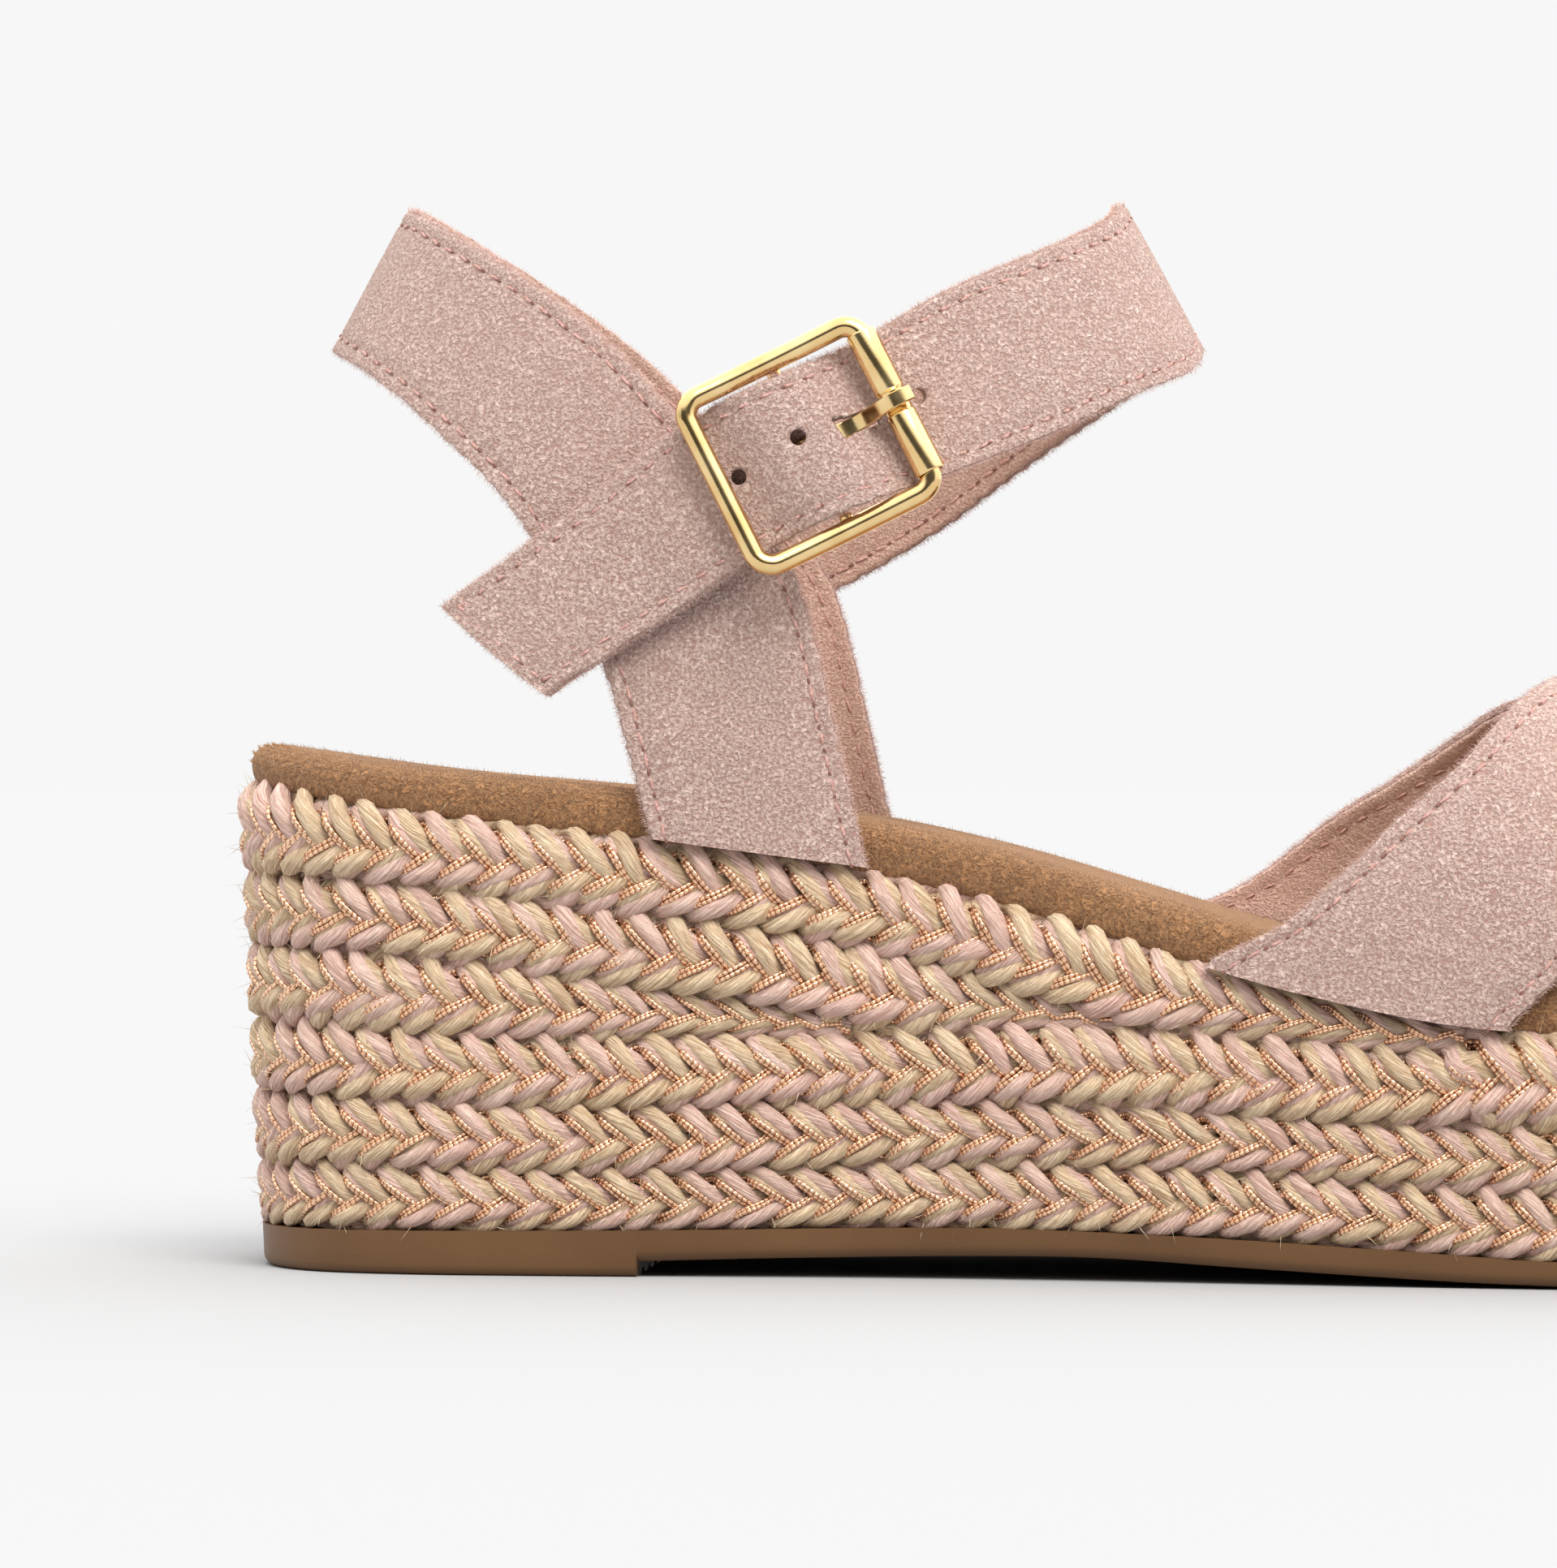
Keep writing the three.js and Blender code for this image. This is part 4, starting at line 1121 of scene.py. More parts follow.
# %% Surfaces of the bands
def on_ankle(degrees, z, lift):
    """A point round the ankle: 0 degrees is the front, positive the outer side."""
    angle = np.radians(degrees)
    long, wide = 54 - 0.55 * (z - 117), 28.9 - 0.0018 * np.maximum(0, z - 70) ** 2
    return np.stack(np.broadcast_arrays(
        -59.4 + (long + lift) * np.cos(angle), -(wide + lift) * np.sin(angle), z), axis=-1)


def ankle_band(stations, lift_line=None):
    """A band's surface from stations of lower angle and height, upper angle and height."""
    lines = [through([[i, row[k]] for i, row in enumerate(stations)]) for k in range(4)]

    def surface(t, v, lift):
        low_angle, low_z, high_angle, high_z = (line(t) for line in lines)
        raise_by = lift_line(t) if lift_line else 0.0
        return on_ankle(low_angle + (high_angle - low_angle) * v,
                        low_z + (high_z - low_z) * v, lift + raise_by)

    return surface


HEEL_HALF = [
    [97.6, 54.3, 80.8, 50.8], [100.3, 65.7, 82.7, 69.7], [102.9, 74.7, 84.9, 85.0],
    [107.9, 84.5, 92.0, 98.5], [118.0, 97.1, 108.0, 115.5], [129.8, 105.2, 125.0, 124.6],
    [142.0, 110.8, 142.0, 130.0], [160.0, 115.2, 161.0, 133.4]]
heel_surface = ankle_band(
    HEEL_HALF + [[180, 116.9, 180, 134.3]]
    + [[360 - a, za, 360 - b, zb] for a, za, b, zb in HEEL_HALF[::-1]])

ankle_lift = through([
    [0, 2.4], [2, 2.3], [4, 1.4], [5, 0.0], [6, -0.9], [7, 0.2], [8, 1.6], [9.4, 2.6],
    [10.15, 3.0], [10.42, 4.7], [10.8, 7.0], [11, 7.2],
    [11.2, 7.0], [11.86, 3.8], [12.4, 3.6], [13.2, 2.6], [15, 2.5]])
ankle_surface = ankle_band([
    [-92.0, 82.5, -103.5, 97.6], [-83.3, 88.0, -93.0, 103.6], [-73.5, 94.5, -83.5, 109.6],
    [-61.5, 102.4, -70.0, 117.2], [-46.0, 109.5, -54.0, 124.6], [-24.0, 115.4, -29.0, 131.0],
    [0, 116.6, 0, 134.5], [20.0, 113.3, 24.3, 131.7], [38.0, 110.0, 45.2, 127.6],
    [53.5, 105.0, 62.5, 122.6], [68.0, 99.6, 77.1, 115.6], [79.4, 95.0, 87.9, 110.5],
    [88.5, 89.2, 97.6, 104.7], [96.4, 82.3, 106.4, 96.2], [102.1, 77.1, 113.4, 89.7],
    [107.4, 72.0, 119.9, 83.2]], ankle_lift)

vamp_apex = through([[-20, 106], [20, 86], [42, 75], [56, 67.5], [72, 60.5], [88, 55], [104, 51]])


def on_vamp(degrees, x, lift):
    """A point of the instep's arch: -90 degrees is the outer footbed edge."""
    angle = np.radians(degrees)
    degrees, x, lift, angle = np.broadcast_arrays(degrees, x, lift, angle)
    base = feather_line(x - HEEL_X)
    inward = wall_inset(base) + 1.0
    edge = outline(turn_at(x - HEEL_X, np.where(degrees < 0, 1, -1), inward), inward)[1]
    rise = vamp_apex(x) - 1.95 + lift - base
    return np.stack([
        x, np.sign(degrees) * (np.abs(edge) + lift) * np.abs(np.sin(angle)) ** 0.75,
        base + 0.7 + (rise - 0.7) * np.maximum(0, np.cos(angle)) ** 0.9], axis=-1)


def vamp_band(rear, front, drop=0.0):
    """A band between a rear and a front edge, each given as x by angle."""
    rear, front = through(rear), through(front)

    def surface(t, v, lift):
        share = np.clip((90 - np.abs(t) - 9) / 25, 0, 1)
        sunk = drop * share * share * (3 - 2 * share)
        return on_vamp(t, rear(t) + (front(t) - rear(t)) * v, lift - sunk)

    return surface


over_surface = vamp_band(
    [[-90, -3.0], [-83, 7.1], [-75, 13.9], [-64, 21.4], [-52, 28.4], [-38, 33.6], [-20, 39],
     [0, 44], [30, 52], [60, 62], [90, 72]],
    [[-90, 33.5], [-83, 39.5], [-70, 48], [-50, 57], [-30, 65], [0, 75], [30, 83], [60, 91],
     [90, 100]])
under_surface = vamp_band(
    [[-90, 72], [-60, 61], [-30, 51], [0, 43], [16, 38.8], [30, 33.6], [42, 28.6],
     [52, 23.4], [60, 18.1], [67, 12.8], [74, 7.4], [81, 1], [90, -12]],
    [[-90, 100], [-60, 91], [-30, 82], [0, 73], [30, 63], [50, 54], [70, 44], [83, 35],
     [90, 29]], drop=2.35)

# %% Band sections and seams
def even_stations(surface, start, end, step=1.1):
    """Stations an even distance apart along a band's middle."""
    dense = np.linspace(start, end, 1500)
    line = surface(dense, 0.5, 1.0)
    length = np.concatenate([[0], np.cumsum(np.linalg.norm(np.diff(line, axis=0), axis=1))])
    return np.interp(np.linspace(0, length[-1], round(length[-1] / step) + 1), length, dense)


def band_width(surface, t):
    return np.linalg.norm(surface(t, 1.0, 1.0) - surface(t, 0.0, 1.0), axis=-1)


def band_section(low, high, margin, furrow, face):
    """A loop round a band: share of the width, millimetres added to it, and height.

    face is 1 where the seam's furrow shows on the outer side, 0 on the inner."""
    soft = min(0.35, (high - low) / 2 - 0.02)
    half = [(0.0, soft, 0), (0.3 * soft, 0.3 * soft, 0), (soft, 0.0, 0),
            (margin - 0.8, 0.0, 0), (margin - 0.35, 0.0, 0.75), (margin, 0.0, 1.0),
            (margin + 0.35, 0.0, 0.75), (margin + 0.8, 0.0, 0)]
    shares = np.linspace(0.22, 0.78, 12)
    row = [(0.0, inset, drop, dip) for inset, drop, dip in half]
    row += [(share, 0.0, 0.0, 0.0) for share in shares]
    row += [(1.0, -inset, drop, dip) for inset, drop, dip in half[::-1]]
    outer = [(s, i, high - drop - furrow * dip * (face == 1)) for s, i, drop, dip in row]
    inner = [(s, i, low + drop + furrow * dip * (face == 0)) for s, i, drop, dip in row[::-1]]
    return np.array(outer + inner).T


def make_band(name, surface, stations, section, material):
    shares, insets, heights = section
    t = stations[:, None]
    ragged = 0.09 * (np.sin(t * 31.0) + np.sin(t * 53.0 + 2.0))
    v = shares + (insets + np.where(np.abs(insets) < 0.5, ragged, 0.0) * (
        (shares == 0) | (shares == 1))) / band_width(surface, t)
    swell = 0.06 * np.sin(t * 7.0 + v * 5.0)
    points = surface(t, v, heights + swell)
    return piece_from(name, points, loft_faces(len(stations), len(shares)), material, sharp=50)


def seam_line(surface, stations, margin, height, outward=1.0):
    """Points, and the direction off the surface, at a margin from an edge.

    A positive margin is measured from the low edge, a negative one from the high."""
    t = np.asarray(stations, float)
    v = (0.0 if margin > 0 else 1.0) + margin / band_width(surface, t)
    points = surface(t, v, height)
    return points, unit(surface(t, v, height + 1.0) - points) * outward


def edge_line(surface, stations, high_edge, height):
    """Points on a band's cut edge, and the direction away from the band."""
    t = np.asarray(stations, float)
    v = 1.0 if high_edge else 0.0
    points = surface(t, v, height)
    return points, unit(points - surface(t, 0.9 if high_edge else 0.1, height))


def end_line(surface, station, inner_station, height, shares=np.linspace(0.0, 1.0, 30)):
    """Points on a band's cut end, and the direction away from the band."""
    points = surface(station + 0 * shares, shares, height)
    return points, unit(points - surface(inner_station + 0 * shares, shares, height))


# %% [markdown]
# ## Stitches
#
# A lockstitch shows as a short sunk dash at each needle hole, with the thread
# lying between holes in its furrow. The dash at each hole is coloured darker
# than the thread, as painted shade of the sunk hole. Both are the same tree: a
# small sphere, drawn out along the seam and set at every pitch, turned to the
# seam's direction and to the surface's own.

# %% Stitch tree
def build_stitch_tree():
    tree, given = new_tree(
        "stitches_along_a_seam", ("Pitch", "Float"), ("Length", "Float"), ("Width", "Float"),
        ("Height", "Float"), ("Seed", "Int"), ("Thread", "Material"))
    line = add_node(tree, "GeometryNodeMeshToCurve", {"Mesh": given["Geometry"]})
    points = add_node(tree, "GeometryNodeResampleCurve", {
        "Curve": line, "Length": given["Pitch"]}, mode="LENGTH")
    ball = add_node(tree, "GeometryNodeMeshUVSphere", {"Segments": 8, "Rings": 5, "Radius": 0.5})
    turned = add_node(tree, "FunctionNodeAxesToRotation", {
        "Primary Axis": named(tree, "off", "FLOAT_VECTOR"),
        "Secondary Axis": add_node(tree, "GeometryNodeInputTangent")},
        primary_axis="Z", secondary_axis="X")
    skew = random_value(tree, -0.16, 0.16, given["Seed"])
    turned = add_node(tree, "FunctionNodeRotateRotation", {
        "Rotation": turned, "Rotate By": add_node(tree, "FunctionNodeEulerToRotation", {
            "Euler": combined(tree, 0.0, 0.0, skew)})}, rotation_space="LOCAL")
    stretch = random_value(tree, 0.8, 1.15, given["Seed"] + 1)
    placed = add_node(tree, "GeometryNodeInstanceOnPoints", {
        "Points": points, "Instance": ball, "Rotation": turned,
        "Scale": combined(tree, given["Length"] * stretch, given["Width"], given["Height"])})
    close_tree(tree, placed, given["Thread"])
    return tree


def make_thread(name, light, dark):
    """Sewing thread: two plies twisted tightly, so fine slanting ridges."""
    material, tree, shader = new_material(name, Roughness=0.7, Specular_IOR_Level=0.3)
    twist = noise(tree, object_place(tree), 2600.0, 2.0, 0.6)
    feed(shader.inputs["Base Color"], blended(between(twist, 0.35, 0.65), dark, light))
    bumped(shader, twist, 0.00008)
    return material


stitch_tree = build_stitch_tree()
thread = make_thread("rose_thread", colour(212, 172, 162), colour(176, 130, 120))
# The dashes at the needle holes are thread coloured darker: painted shade of the sunk holes.
needle_hole = make_thread("needle_hole", colour(146, 104, 94), colour(116, 78, 70))


def sew(name, seams, body, slot, pitch, outward=1.0, finish=finished):
    """Sews seams given as points and directions: sunk dashes coloured as painted shade of the holes,
    and thread between.
    """
    made = []
    for kind, shift, length, width, height, material in (
            # dark dashes at the holes: painted shade of the sunk needle holes
            ("holes", 0.0, 0.00085, 0.00045, 0.00026, needle_hole),
            ("thread", 0.5, 0.0019, 0.00042, 0.00034, thread)):
        lines, offs = [], []
        for points, off in seams:
            steps = np.linalg.norm(np.diff(points, axis=0), axis=1)
            length_at = np.concatenate([[0], np.cumsum(steps)])
            start = shift * pitch
            stops = np.arange(start, length_at[-1], 0.4)
            lines.append(np.stack([np.interp(stops, length_at, p) for p in points.T], -1))
            offs.append(unit(np.stack([np.interp(stops, length_at, p) for p in off.T], -1)))
        guide = guide_lines(name + "_guide", lines, off=offs)
        made.append(grown(guide, stitch_tree, f"{name}_{kind}", Pitch=pitch * 0.001,
                          Length=length, Width=width, Height=height, Seed=len(name),
                          Thread=material))
    for piece in made:
        finish(piece, body, slot)
    return made


def fray(name, edges, body, slot, spacing=0.00022, length=0.0011, finish=finished):
    """Plants suede fibres along cut edges given as points and directions."""
    guide = guide_lines(name + "_guide", [points for points, _ in edges],
                        away=[away for _, away in edges])
    made = grown(guide, edge_fibres, name, Spacing=spacing, Length=length,
                 Thickness=0.000045, Lean=0.75, Seed=len(name), Fibre=suede_hair)
    finish(made, body, slot)
    return made


print("stitch tree:", stitch_tree.name)

# %% [markdown]
# ## The heel strap
#
# One band rises from the footbed's outer edge, goes round behind the ankle and
# comes down to the inner edge. Its raw edges are frayed, and a seam runs two
# millimetres inside each.

# %% Heel strap
SUEDE_LOW, SUEDE_HIGH = 0.72, 1.95
LINING_LOW, LINING_HIGH = 0.0, 0.7


def make_two_layers(name, surface, stations, margin, pitch, node, seam_stations=None):
    """Suede and lining of a band on the shoe, with its seams and frayed edges."""
    outer = make_band(f"{name}_suede", surface, stations,
                      band_section(SUEDE_LOW, SUEDE_HIGH, margin, 0.16, 1), suede)
    inner = make_band(f"{name}_lining", surface, stations,
                      band_section(LINING_LOW, LINING_HIGH, margin, 0.12, 0), lining)
    finished(outer, "shoe", "suede", f"{node}_outer")
    finished(inner, "shoe", "strap_lining", f"{node}_lining")
    sewn = stations if seam_stations is None else seam_stations
    sew(f"{name}_seam", [seam_line(surface, sewn, side * margin, SUEDE_HIGH - 0.13)
                         for side in (1, -1)], "shoe", "suede", pitch)
    sew(f"{name}_lining_seam", [seam_line(surface, sewn, side * margin, LINING_LOW + 0.08, -1.0)
                                for side in (1, -1)], "shoe", "strap_lining", pitch)
    fray(f"{name}_fray", [edge_line(surface, stations, high, height)
                          for high in (False, True) for height in (0.8, 1.3, 1.75)],
         "shoe", "suede")
    return outer, inner


heel_stations = even_stations(heel_surface, 0, 16)
make_two_layers("heel_strap", heel_surface, heel_stations, 1.9, 2.9, "heel_strap")

# %% [markdown]
# ## The crossed vamp
#
# Two wider bands cross over the instep. The one that starts at the outer rear
# lies on top; the other passes under it and is drawn in by the thickness of a
# band where they cross.

# %% Vamp bands
over_stations = even_stations(over_surface, -90, 90, 1.3)
make_two_layers("over_band", over_surface, over_stations, 2.3, 3.0, "over_band")
under_stations = even_stations(under_surface, -90, 90, 1.3)
make_two_layers("under_band", under_surface, under_stations, 2.3, 3.0, "under_band")

# %% [markdown]
# ## The ankle strap
#
# The strap is sewn inside the ankle, goes round the front, over the buckle's
# centre bar and out under its rear bar, and ends in a free tip that can be
# lifted. It stays one piece of leather, so one mesh crosses the joint. It has
# four holes; three are punched with real cutters, and so is the slot that the
# prong comes up through.

# %% Buckle axes
def unit_vector(*parts):
    vector = np.array(parts, float)
    return vector / np.linalg.norm(vector)


SLOPE = math.radians(27)
SEAT = on_ankle(83.0, 101.8, 0.0)
OUT = unit_vector(0.075, -1.0, 0.13)
ALONG = np.array([math.cos(SLOPE), 0.0, math.sin(SLOPE)])
ALONG = unit_vector(*(ALONG - ALONG.dot(OUT) * OUT))
ACROSS = np.cross(OUT, ALONG)
BAR_LIFT, FRAME_LIFT, SIDE_LIFT = 4.8, 7.5, 6.8
BAR_SPACING, REAR_SPACING, SIDE_SPACING = 11.6, 12.3, 11.5


def on_buckle(along, across, lift):
    """A point given by the buckle's own axes, in the drawing's millimetres."""
    along, across, lift = np.broadcast_arrays(*(np.asarray(n, float) for n in (along, across, lift)))
    return SEAT + along[..., None] * ALONG + across[..., None] * ACROSS + lift[..., None] * OUT


print("buckle seat:", np.round(SEAT, 1))

# %% Punched holes
def nearest_station(surface, x, z, low=7.5, high=14.5):
    """The station and share of a band whose outer face shows at a forward and a height."""
    t, v = np.meshgrid(np.linspace(low, high, 700), np.linspace(0.1, 0.9, 160), indexing="ij")
    points = surface(t, v, SUEDE_HIGH)
    best = np.argmin((points[..., 0] - x) ** 2 + (points[..., 2] - z) ** 2)
    return t.ravel()[best], v.ravel()[best]


def punch(name, centre, axis, radius, length=5.0):
    """A round cutter through a strap at a point, along an axis."""
    axis = unit_vector(*axis)
    side = unit_vector(*np.cross(axis, (0.3, 0.1, 0.9)))
    other = np.cross(axis, side)
    angle = np.linspace(0, 2 * math.pi, 20, endpoint=False)[:, None]
    rim = radius * (np.cos(angle) * side + np.sin(angle) * other)
    loops = np.stack([centre - axis * length / 2 + rim, centre + axis * length / 2 + rim])
    return piece_from(name, loops, loft_faces(2, 20), suede)


def prong_slot(start, end, half, top):
    """A box cutter under and through the strap, where the prong lies or swings."""
    corners = [(start, -half), (end, -half), (end, half), (start, half)]
    loops = np.stack([[on_buckle(a, c, lift) for a, c in corners] for lift in (0.5, top)])
    return piece_from("slot_cutter", loops, loft_faces(2, 4), suede)


def cut_through(piece, cutters):
    """Cuts a closed mesh with closed cutters, and keeps the result as a plain mesh."""
    for cutter in cutters:
        modifier = piece.modifiers.new("cut", "BOOLEAN")
        modifier.object = cutter
        modifier.solver = "EXACT"
    graph = bpy.context.evaluated_depsgraph_get()
    mesh = bpy.data.meshes.new_from_object(piece.evaluated_get(graph), depsgraph=graph)
    piece.modifiers.clear()
    old, piece.data = piece.data, mesh
    mesh.name = piece.name
    bpy.data.meshes.remove(old)
    return piece


HOLES = [(-38.3, 108.9), (-52.7, 103.5), (-60.2, 98.8)]
cutters = [prong_slot(4.0, 8.8, 1.2, 11.0), prong_slot(-1.2, 5.0, 1.4, 8.4)]
for i, (x, z) in enumerate(HOLES):
    t, v = nearest_station(ankle_surface, x, z)
    middle = ankle_surface(t, v, 1.0)
    cutters.append(punch(f"hole_cutter_{i}", middle, ankle_surface(t, v, 2.0) - middle, 1.0))
print("cutters:", len(cutters))

# %% Strap layers across the tip's hinge
HINGE_AXIS = unit_vector(-0.5947, 0.1047, 0.7970)
TIP_STATION = 12.55
skin_out = unit_vector(*(ankle_surface(TIP_STATION, 0.5, 2.0) - ankle_surface(TIP_STATION, 0.5, 1.0)))
tip_way = unit_vector(*np.cross(HINGE_AXIS, skin_out))
if tip_way.dot(ankle_surface(14.0, 0.5, 1.0) - ankle_surface(12.0, 0.5, 1.0)) < 0:
    tip_way = -tip_way


def finished_strap(piece, body, slot, *replaced):
    """For a piece that crosses the tip's hinge: hides the nodes it stands for and bakes the piece
    into the frame, on no body. The body and the slot are not used.
    """
    if replaced:
        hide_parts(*replaced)
    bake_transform(piece)
    print(f"{piece.name}: {len(piece.data.polygons)} faces, bends from shoe to strap_tip")
    return piece


ankle_stations = even_stations(ankle_surface, 0, 15)
strap_suede = make_band("ankle_band_suede", ankle_surface, ankle_stations,
                        band_section(SUEDE_LOW, SUEDE_HIGH, 1.8, 0.16, 1), suede)
strap_lining = make_band("ankle_band_lining", ankle_surface, ankle_stations,
                         band_section(LINING_LOW, LINING_HIGH, 1.8, 0.12, 0), lining)
for piece in (strap_suede, strap_lining):
    cut_through(piece, cutters)
for cutter in cutters:
    bpy.data.objects.remove(cutter)
finished_strap(strap_suede, "", "suede", "ankle_strap_outer", "strap_tip_outer")
finished_strap(strap_lining, "", "strap_lining", "ankle_strap_lining", "strap_tip_lining")

# %% Strap seams and frayed edges
tip_shares = np.linspace(0.1, 0.9, 24)
tip_seam = ankle_surface(14.86 + 0 * tip_shares, tip_shares, SUEDE_HIGH - 0.13)
tip_off = unit(ankle_surface(14.86 + 0 * tip_shares, tip_shares, 3.0) - tip_seam)
sewn_part = even_stations(ankle_surface, 0.15, 14.86)
sew("ankle_seam", [seam_line(ankle_surface, sewn_part, side * 1.8, SUEDE_HIGH - 0.13)
                   for side in (1, -1)] + [(tip_seam, tip_off)],
    "", "suede", 2.9, finish=finished_strap)
sew("ankle_lining_seam", [seam_line(ankle_surface, sewn_part, side * 1.8, 0.08, -1.0)
                          for side in (1, -1)],
    "", "strap_lining", 2.9, finish=finished_strap)
fray("ankle_fray",
     [edge_line(ankle_surface, ankle_stations, high, height)
      for high in (False, True) for height in (0.8, 1.3, 1.75)]
     + [end_line(ankle_surface, 15.0, 14.5, height) for height in (0.8, 1.3, 1.75)],
     "", "suede", finish=finished_strap)

# %% [markdown]
# ## The buckle
#
# A square of round gold wire, bowed a little at its sides to follow the ankle.
# A thin bar is brazed across its middle, and the front side carries a roller
# bent from sheet, with its seam underneath and a waist where the prong rests.
# The prong is flat wire, curled round the bar, with a squared end. All three
# are swept or turned with enough sides to shine smoothly.

# %% Buckle frame
def swept(name, path, normals, sides, radius, closed, material, flat=1.0, sharp=None):
    """A wire along a path: normals give one side of its section, flat squeezes the other."""
    ahead = np.gradient(path, axis=0)
    if closed:
        ahead = (np.roll(path, -1, 0) - np.roll(path, 1, 0)) / 2
    ahead = unit(ahead)
    normals = unit(normals - (normals * ahead).sum(1, keepdims=True) * ahead)
    other = np.cross(ahead, normals)
    angle = np.linspace(0, 2 * math.pi, sides, endpoint=False)[None, :, None]
    radius = np.broadcast_to(radius, len(path))[:, None, None]
    loops = path[:, None] + radius * (
        np.cos(angle) * normals[:, None] + flat * np.sin(angle) * other[:, None])
    return piece_from(name, loops, loft_faces(len(path), sides, closed), material, sharp=sharp)


def frame_path(corner=2.4, corner_steps=10, side_steps=16):
    """The wire's middle line: a square with round corners, bowed between its bars."""
    points = []
    for k, (along, across) in enumerate([(1, 1), (-1, 1), (-1, -1), (1, -1)]):
        for angle in np.linspace(k, k + 1, corner_steps) * math.pi / 2:
            spacing = BAR_SPACING if along > 0 else REAR_SPACING
            points.append([along * (spacing - corner) + corner * math.cos(angle),
                           across * (SIDE_SPACING - corner) + corner * math.sin(angle)])
        points += [None] * side_steps
    flat = []
    for i, point in enumerate(points):
        if point is not None:
            flat.append(point)
            continue
        before = next(j for j in range(i, -1, -1) if points[j] is not None)
        after = next(j for j in range(i, i + len(points)) if points[j % len(points)] is not None)
        share = (i - before) / (after - before)
        flat.append([a + (b - a) * share
                     for a, b in zip(points[before], points[after % len(points)])])
    flat = np.array(flat)
    bow = np.maximum(0, 1 - (flat[:, 0] / BAR_SPACING) ** 2)
    lift = FRAME_LIFT + (SIDE_LIFT - FRAME_LIFT) * bow
    return on_buckle(flat[:, 0], flat[:, 1], lift)


def joined(name, pieces):
    """One mesh object from several, in the order given."""
    shape = bmesh.new()
    for piece in pieces:
        shape.from_mesh(piece.data)
    mesh = bpy.data.meshes.new(name)
    shape.to_mesh(mesh)
    shape.free()
    for material in pieces[0].data.materials:
        mesh.materials.append(material)
    for piece in pieces:
        bpy.data.objects.remove(piece)
    made = bpy.data.objects.new(name, mesh)
    scene.collection.objects.link(made)
    return made


path = frame_path()
wire = swept("wire", path, np.broadcast_to(OUT, path.shape), 24, 1.33, True, gold)
bar_line = on_buckle(0.0, np.linspace(-SIDE_SPACING, SIDE_SPACING, 12), BAR_LIFT)
bar = swept("bar", bar_line, np.broadcast_to(OUT, bar_line.shape), 16, 0.9, False, gold)
lugs = []
for side in (1, -1):
    lug_line = on_buckle(0.0, side * (SIDE_SPACING - 0.25), np.linspace(BAR_LIFT - 0.8, SIDE_LIFT, 6))
    lugs.append(swept("lug", lug_line, np.broadcast_to(ALONG, lug_line.shape), 14, 0.85, False, gold))
buckle_frame = joined("gold_buckle_frame", [wire, bar, *lugs])
finished(buckle_frame, "buckle", "gold_metal", "buckle_frame")

# %% Roller
def make_roller(sides=40):
    """A sheet tube with rolled ends and a waist, thick enough to show its edge."""
    half = 9.7
    outer = [(-half, 1.62), (-half, 1.84), (-half + 0.06, 1.89), (-half + 0.25, 1.92),
             (-1.75, 1.92), (-1.55, 1.87), (-1.4, 1.76), (-1.25, 1.72), (1.25, 1.72),
             (1.4, 1.76), (1.55, 1.87), (1.75, 1.92), (half - 0.25, 1.92),
             (half - 0.06, 1.89), (half, 1.84), (half, 1.62)]
    angles = np.radians(np.linspace(262, -82, sides))
    loops = []
    for angle in angles:
        loops.append([on_buckle(BAR_SPACING + radius * math.cos(angle), across,
                                FRAME_LIFT + radius * math.sin(angle))
                      for across, radius in outer + [(half, 1.58), (-half, 1.58)]])
    count = len(loops[0])
    faces = []
    for row in range(len(loops) - 1):
        for i in range(count):
            j = (i + 1) % count
            faces.append((row * count + i, row * count + j, (row + 1) * count + j,
                          (row + 1) * count + i))
    last = (len(loops) - 1) * count
    faces += [tuple(range(count)), tuple(last + i for i in range(count))]
    return piece_from("gold_roller", loops, faces, gold, sharp=50)


finished(make_roller(), "roller", "gold_metal", "buckle_roller")

# %% Prong
def make_prong():
    """Flat wire, curled round the bar, that lies over the roller's waist."""
    curl = 1.62
    angles = np.radians(np.linspace(-62, -262, 22))
    points = [(curl * math.cos(a), BAR_LIFT + curl * math.sin(a)) for a in angles]
    rise = through([[0.2, BAR_LIFT + 1.6], [2.0, 6.1], [4.6, 5.6], [5.8, 5.75],
                    [7.2, 6.35], [8.2, 7.15], [9.0, 8.0], [9.7, 8.8], [10.5, 9.5], [11.4, 9.88], [12.4, 9.9], [13.7, 9.6]])
    points += [(a, float(rise(a))) for a in np.linspace(0.4, 13.7, 44)]
    line = np.array(points)
    ahead = unit(np.gradient(line, axis=0))
    normal = np.stack([-ahead[:, 1], ahead[:, 0]], 1)
    taper = np.interp(line[:, 0], [-2, 9, 13.9], [1.1, 0.98, 0.9])
    loops = []
    section = [(-1, -0.62), (-0.86, -1), (0.86, -1), (1, -0.62), (1, 0.62), (0.86, 1),
               (-0.86, 1), (-1, 0.62)]
    for (a, lift), (na, nl), wide in zip(line, normal, taper):
        loops.append([on_buckle(a + na * thick * 0.42, w * wide, lift + nl * thick * 0.42)
                      for w, thick in section])
    return piece_from("gold_prong", loops, loft_faces(len(loops), len(section)), gold, sharp=35)


finished(make_prong(), "prong", "gold_metal", "buckle_prong")

# %% [markdown]
# ## The chape
#
# A short suede tab is folded round the centre bar, slit so that the prong can
# swing, and sewn down on the heel strap. Most of it is hidden under the strap.

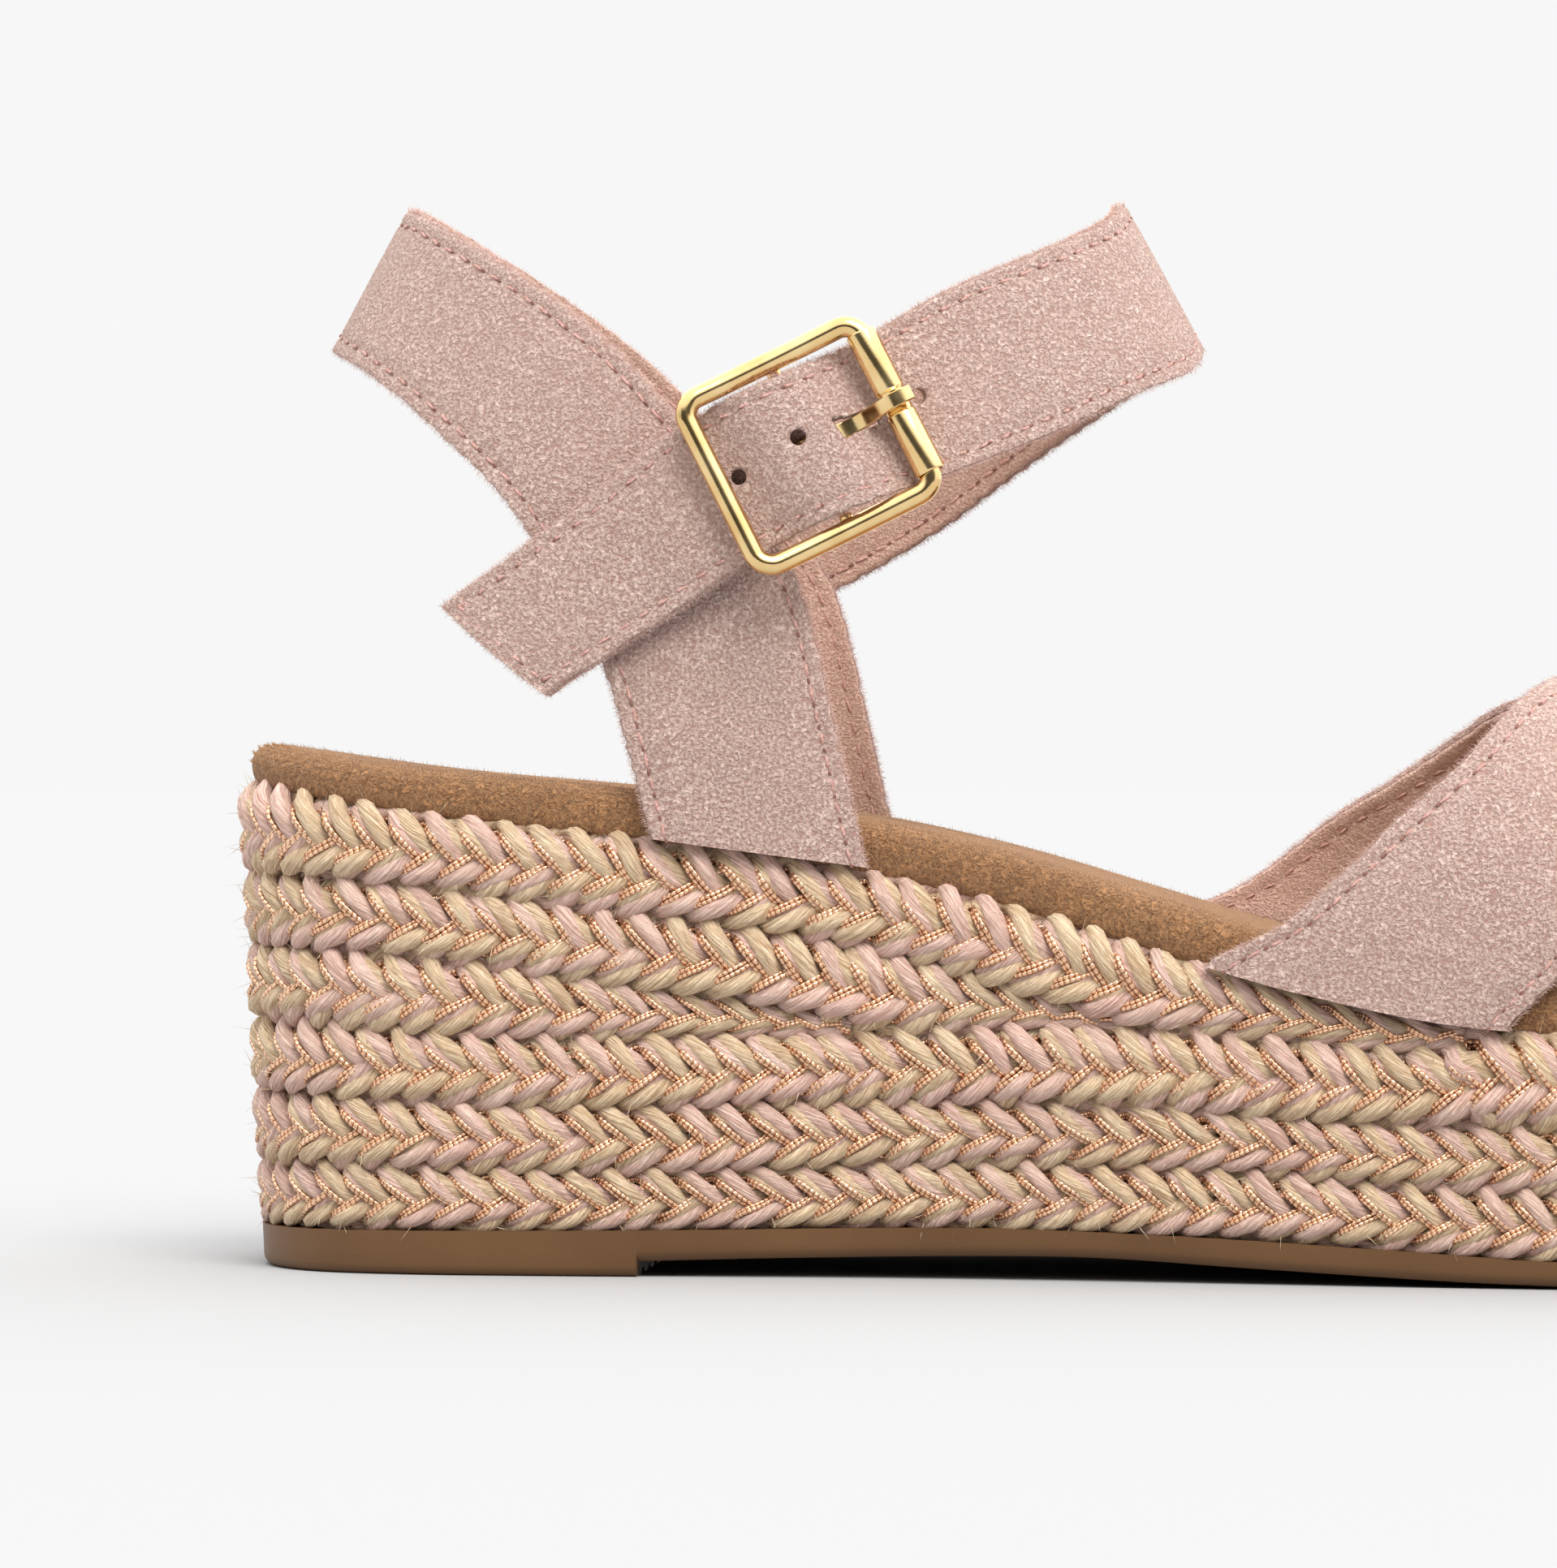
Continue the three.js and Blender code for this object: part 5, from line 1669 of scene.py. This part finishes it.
# %% Chape
def make_chape():
    """A folded tab: its two sides run back together along the heel strap."""
    bend = [(1.42 * math.cos(a), BAR_LIFT + 1.42 * math.sin(a))
            for a in np.radians(np.linspace(-100, 168, 20))]
    lower = [(a, 1.62 + 1.0 * (a + 16) / 14.4) for a in np.linspace(-16, -1.6, 12)]
    upper = [(-2.6, 3.72), (-4.6, 3.1)]
    line = np.array(lower + bend + upper)
    ahead = unit(np.gradient(line, axis=0))
    normal = np.stack([-ahead[:, 1], ahead[:, 0]], 1)
    shares = np.linspace(-1, 1, 13)
    loops = []
    for (a, lift), (na, nl) in zip(line, normal):
        front = [on_buckle(a + na * 0.36, s * 7.4, lift + nl * 0.36) for s in shares]
        back = [on_buckle(a - na * 0.36, s * 7.4, lift - nl * 0.36) for s in shares[::-1]]
        loops.append(front + back)
    tab = piece_from("suede_chape", loops, loft_faces(len(loops), 26), suede, sharp=50)
    corners = [(-2.4, -1.5), (5.6, -1.5), (5.6, 1.5), (-2.4, 1.5)]
    box = np.stack([[on_buckle(a, c, lift) for a, c in corners] for lift in (-1.0, 11.0)])
    cutter = piece_from("slit_cutter", box, loft_faces(2, 4), suede)
    cut_through(tab, [cutter])
    bpy.data.objects.remove(cutter)
    return tab


finished(make_chape(), "shoe", "suede", "buckle_chape")

# %% [markdown]
# The footbed's nap is short, but it shows as down along the rim, where the
# cover turns over.

# %% Nap on the footbed's rim
def footbed_rim(inward, height):
    turns = np.linspace(0, 1, 900, endpoint=False)
    points = on_wall(turns, inward, rim_line(height))
    inner = on_wall(turns, inward + 2.0, rim_line(height - 2.6))
    return points, unit(points - inner)


rims = [footbed_rim(inward, height) for inward, height in
        ((1.55, 3.8), (1.9, 5.2), (2.6, 6.2), (3.4, 6.75), (4.4, 7.05), (5.4, 7.2))]
guide = guide_lines("rim_guide", [points for points, _ in rims], closed=True,
                    away=[away for _, away in rims])
nap = grown(guide, edge_fibres, "footbed_nap", Spacing=0.00045, Length=0.0009,
            Thickness=0.000045, Lean=0.8, Seed=4, Fibre=tan_hair)
finished(nap, "shoe", "footbed_microsuede")
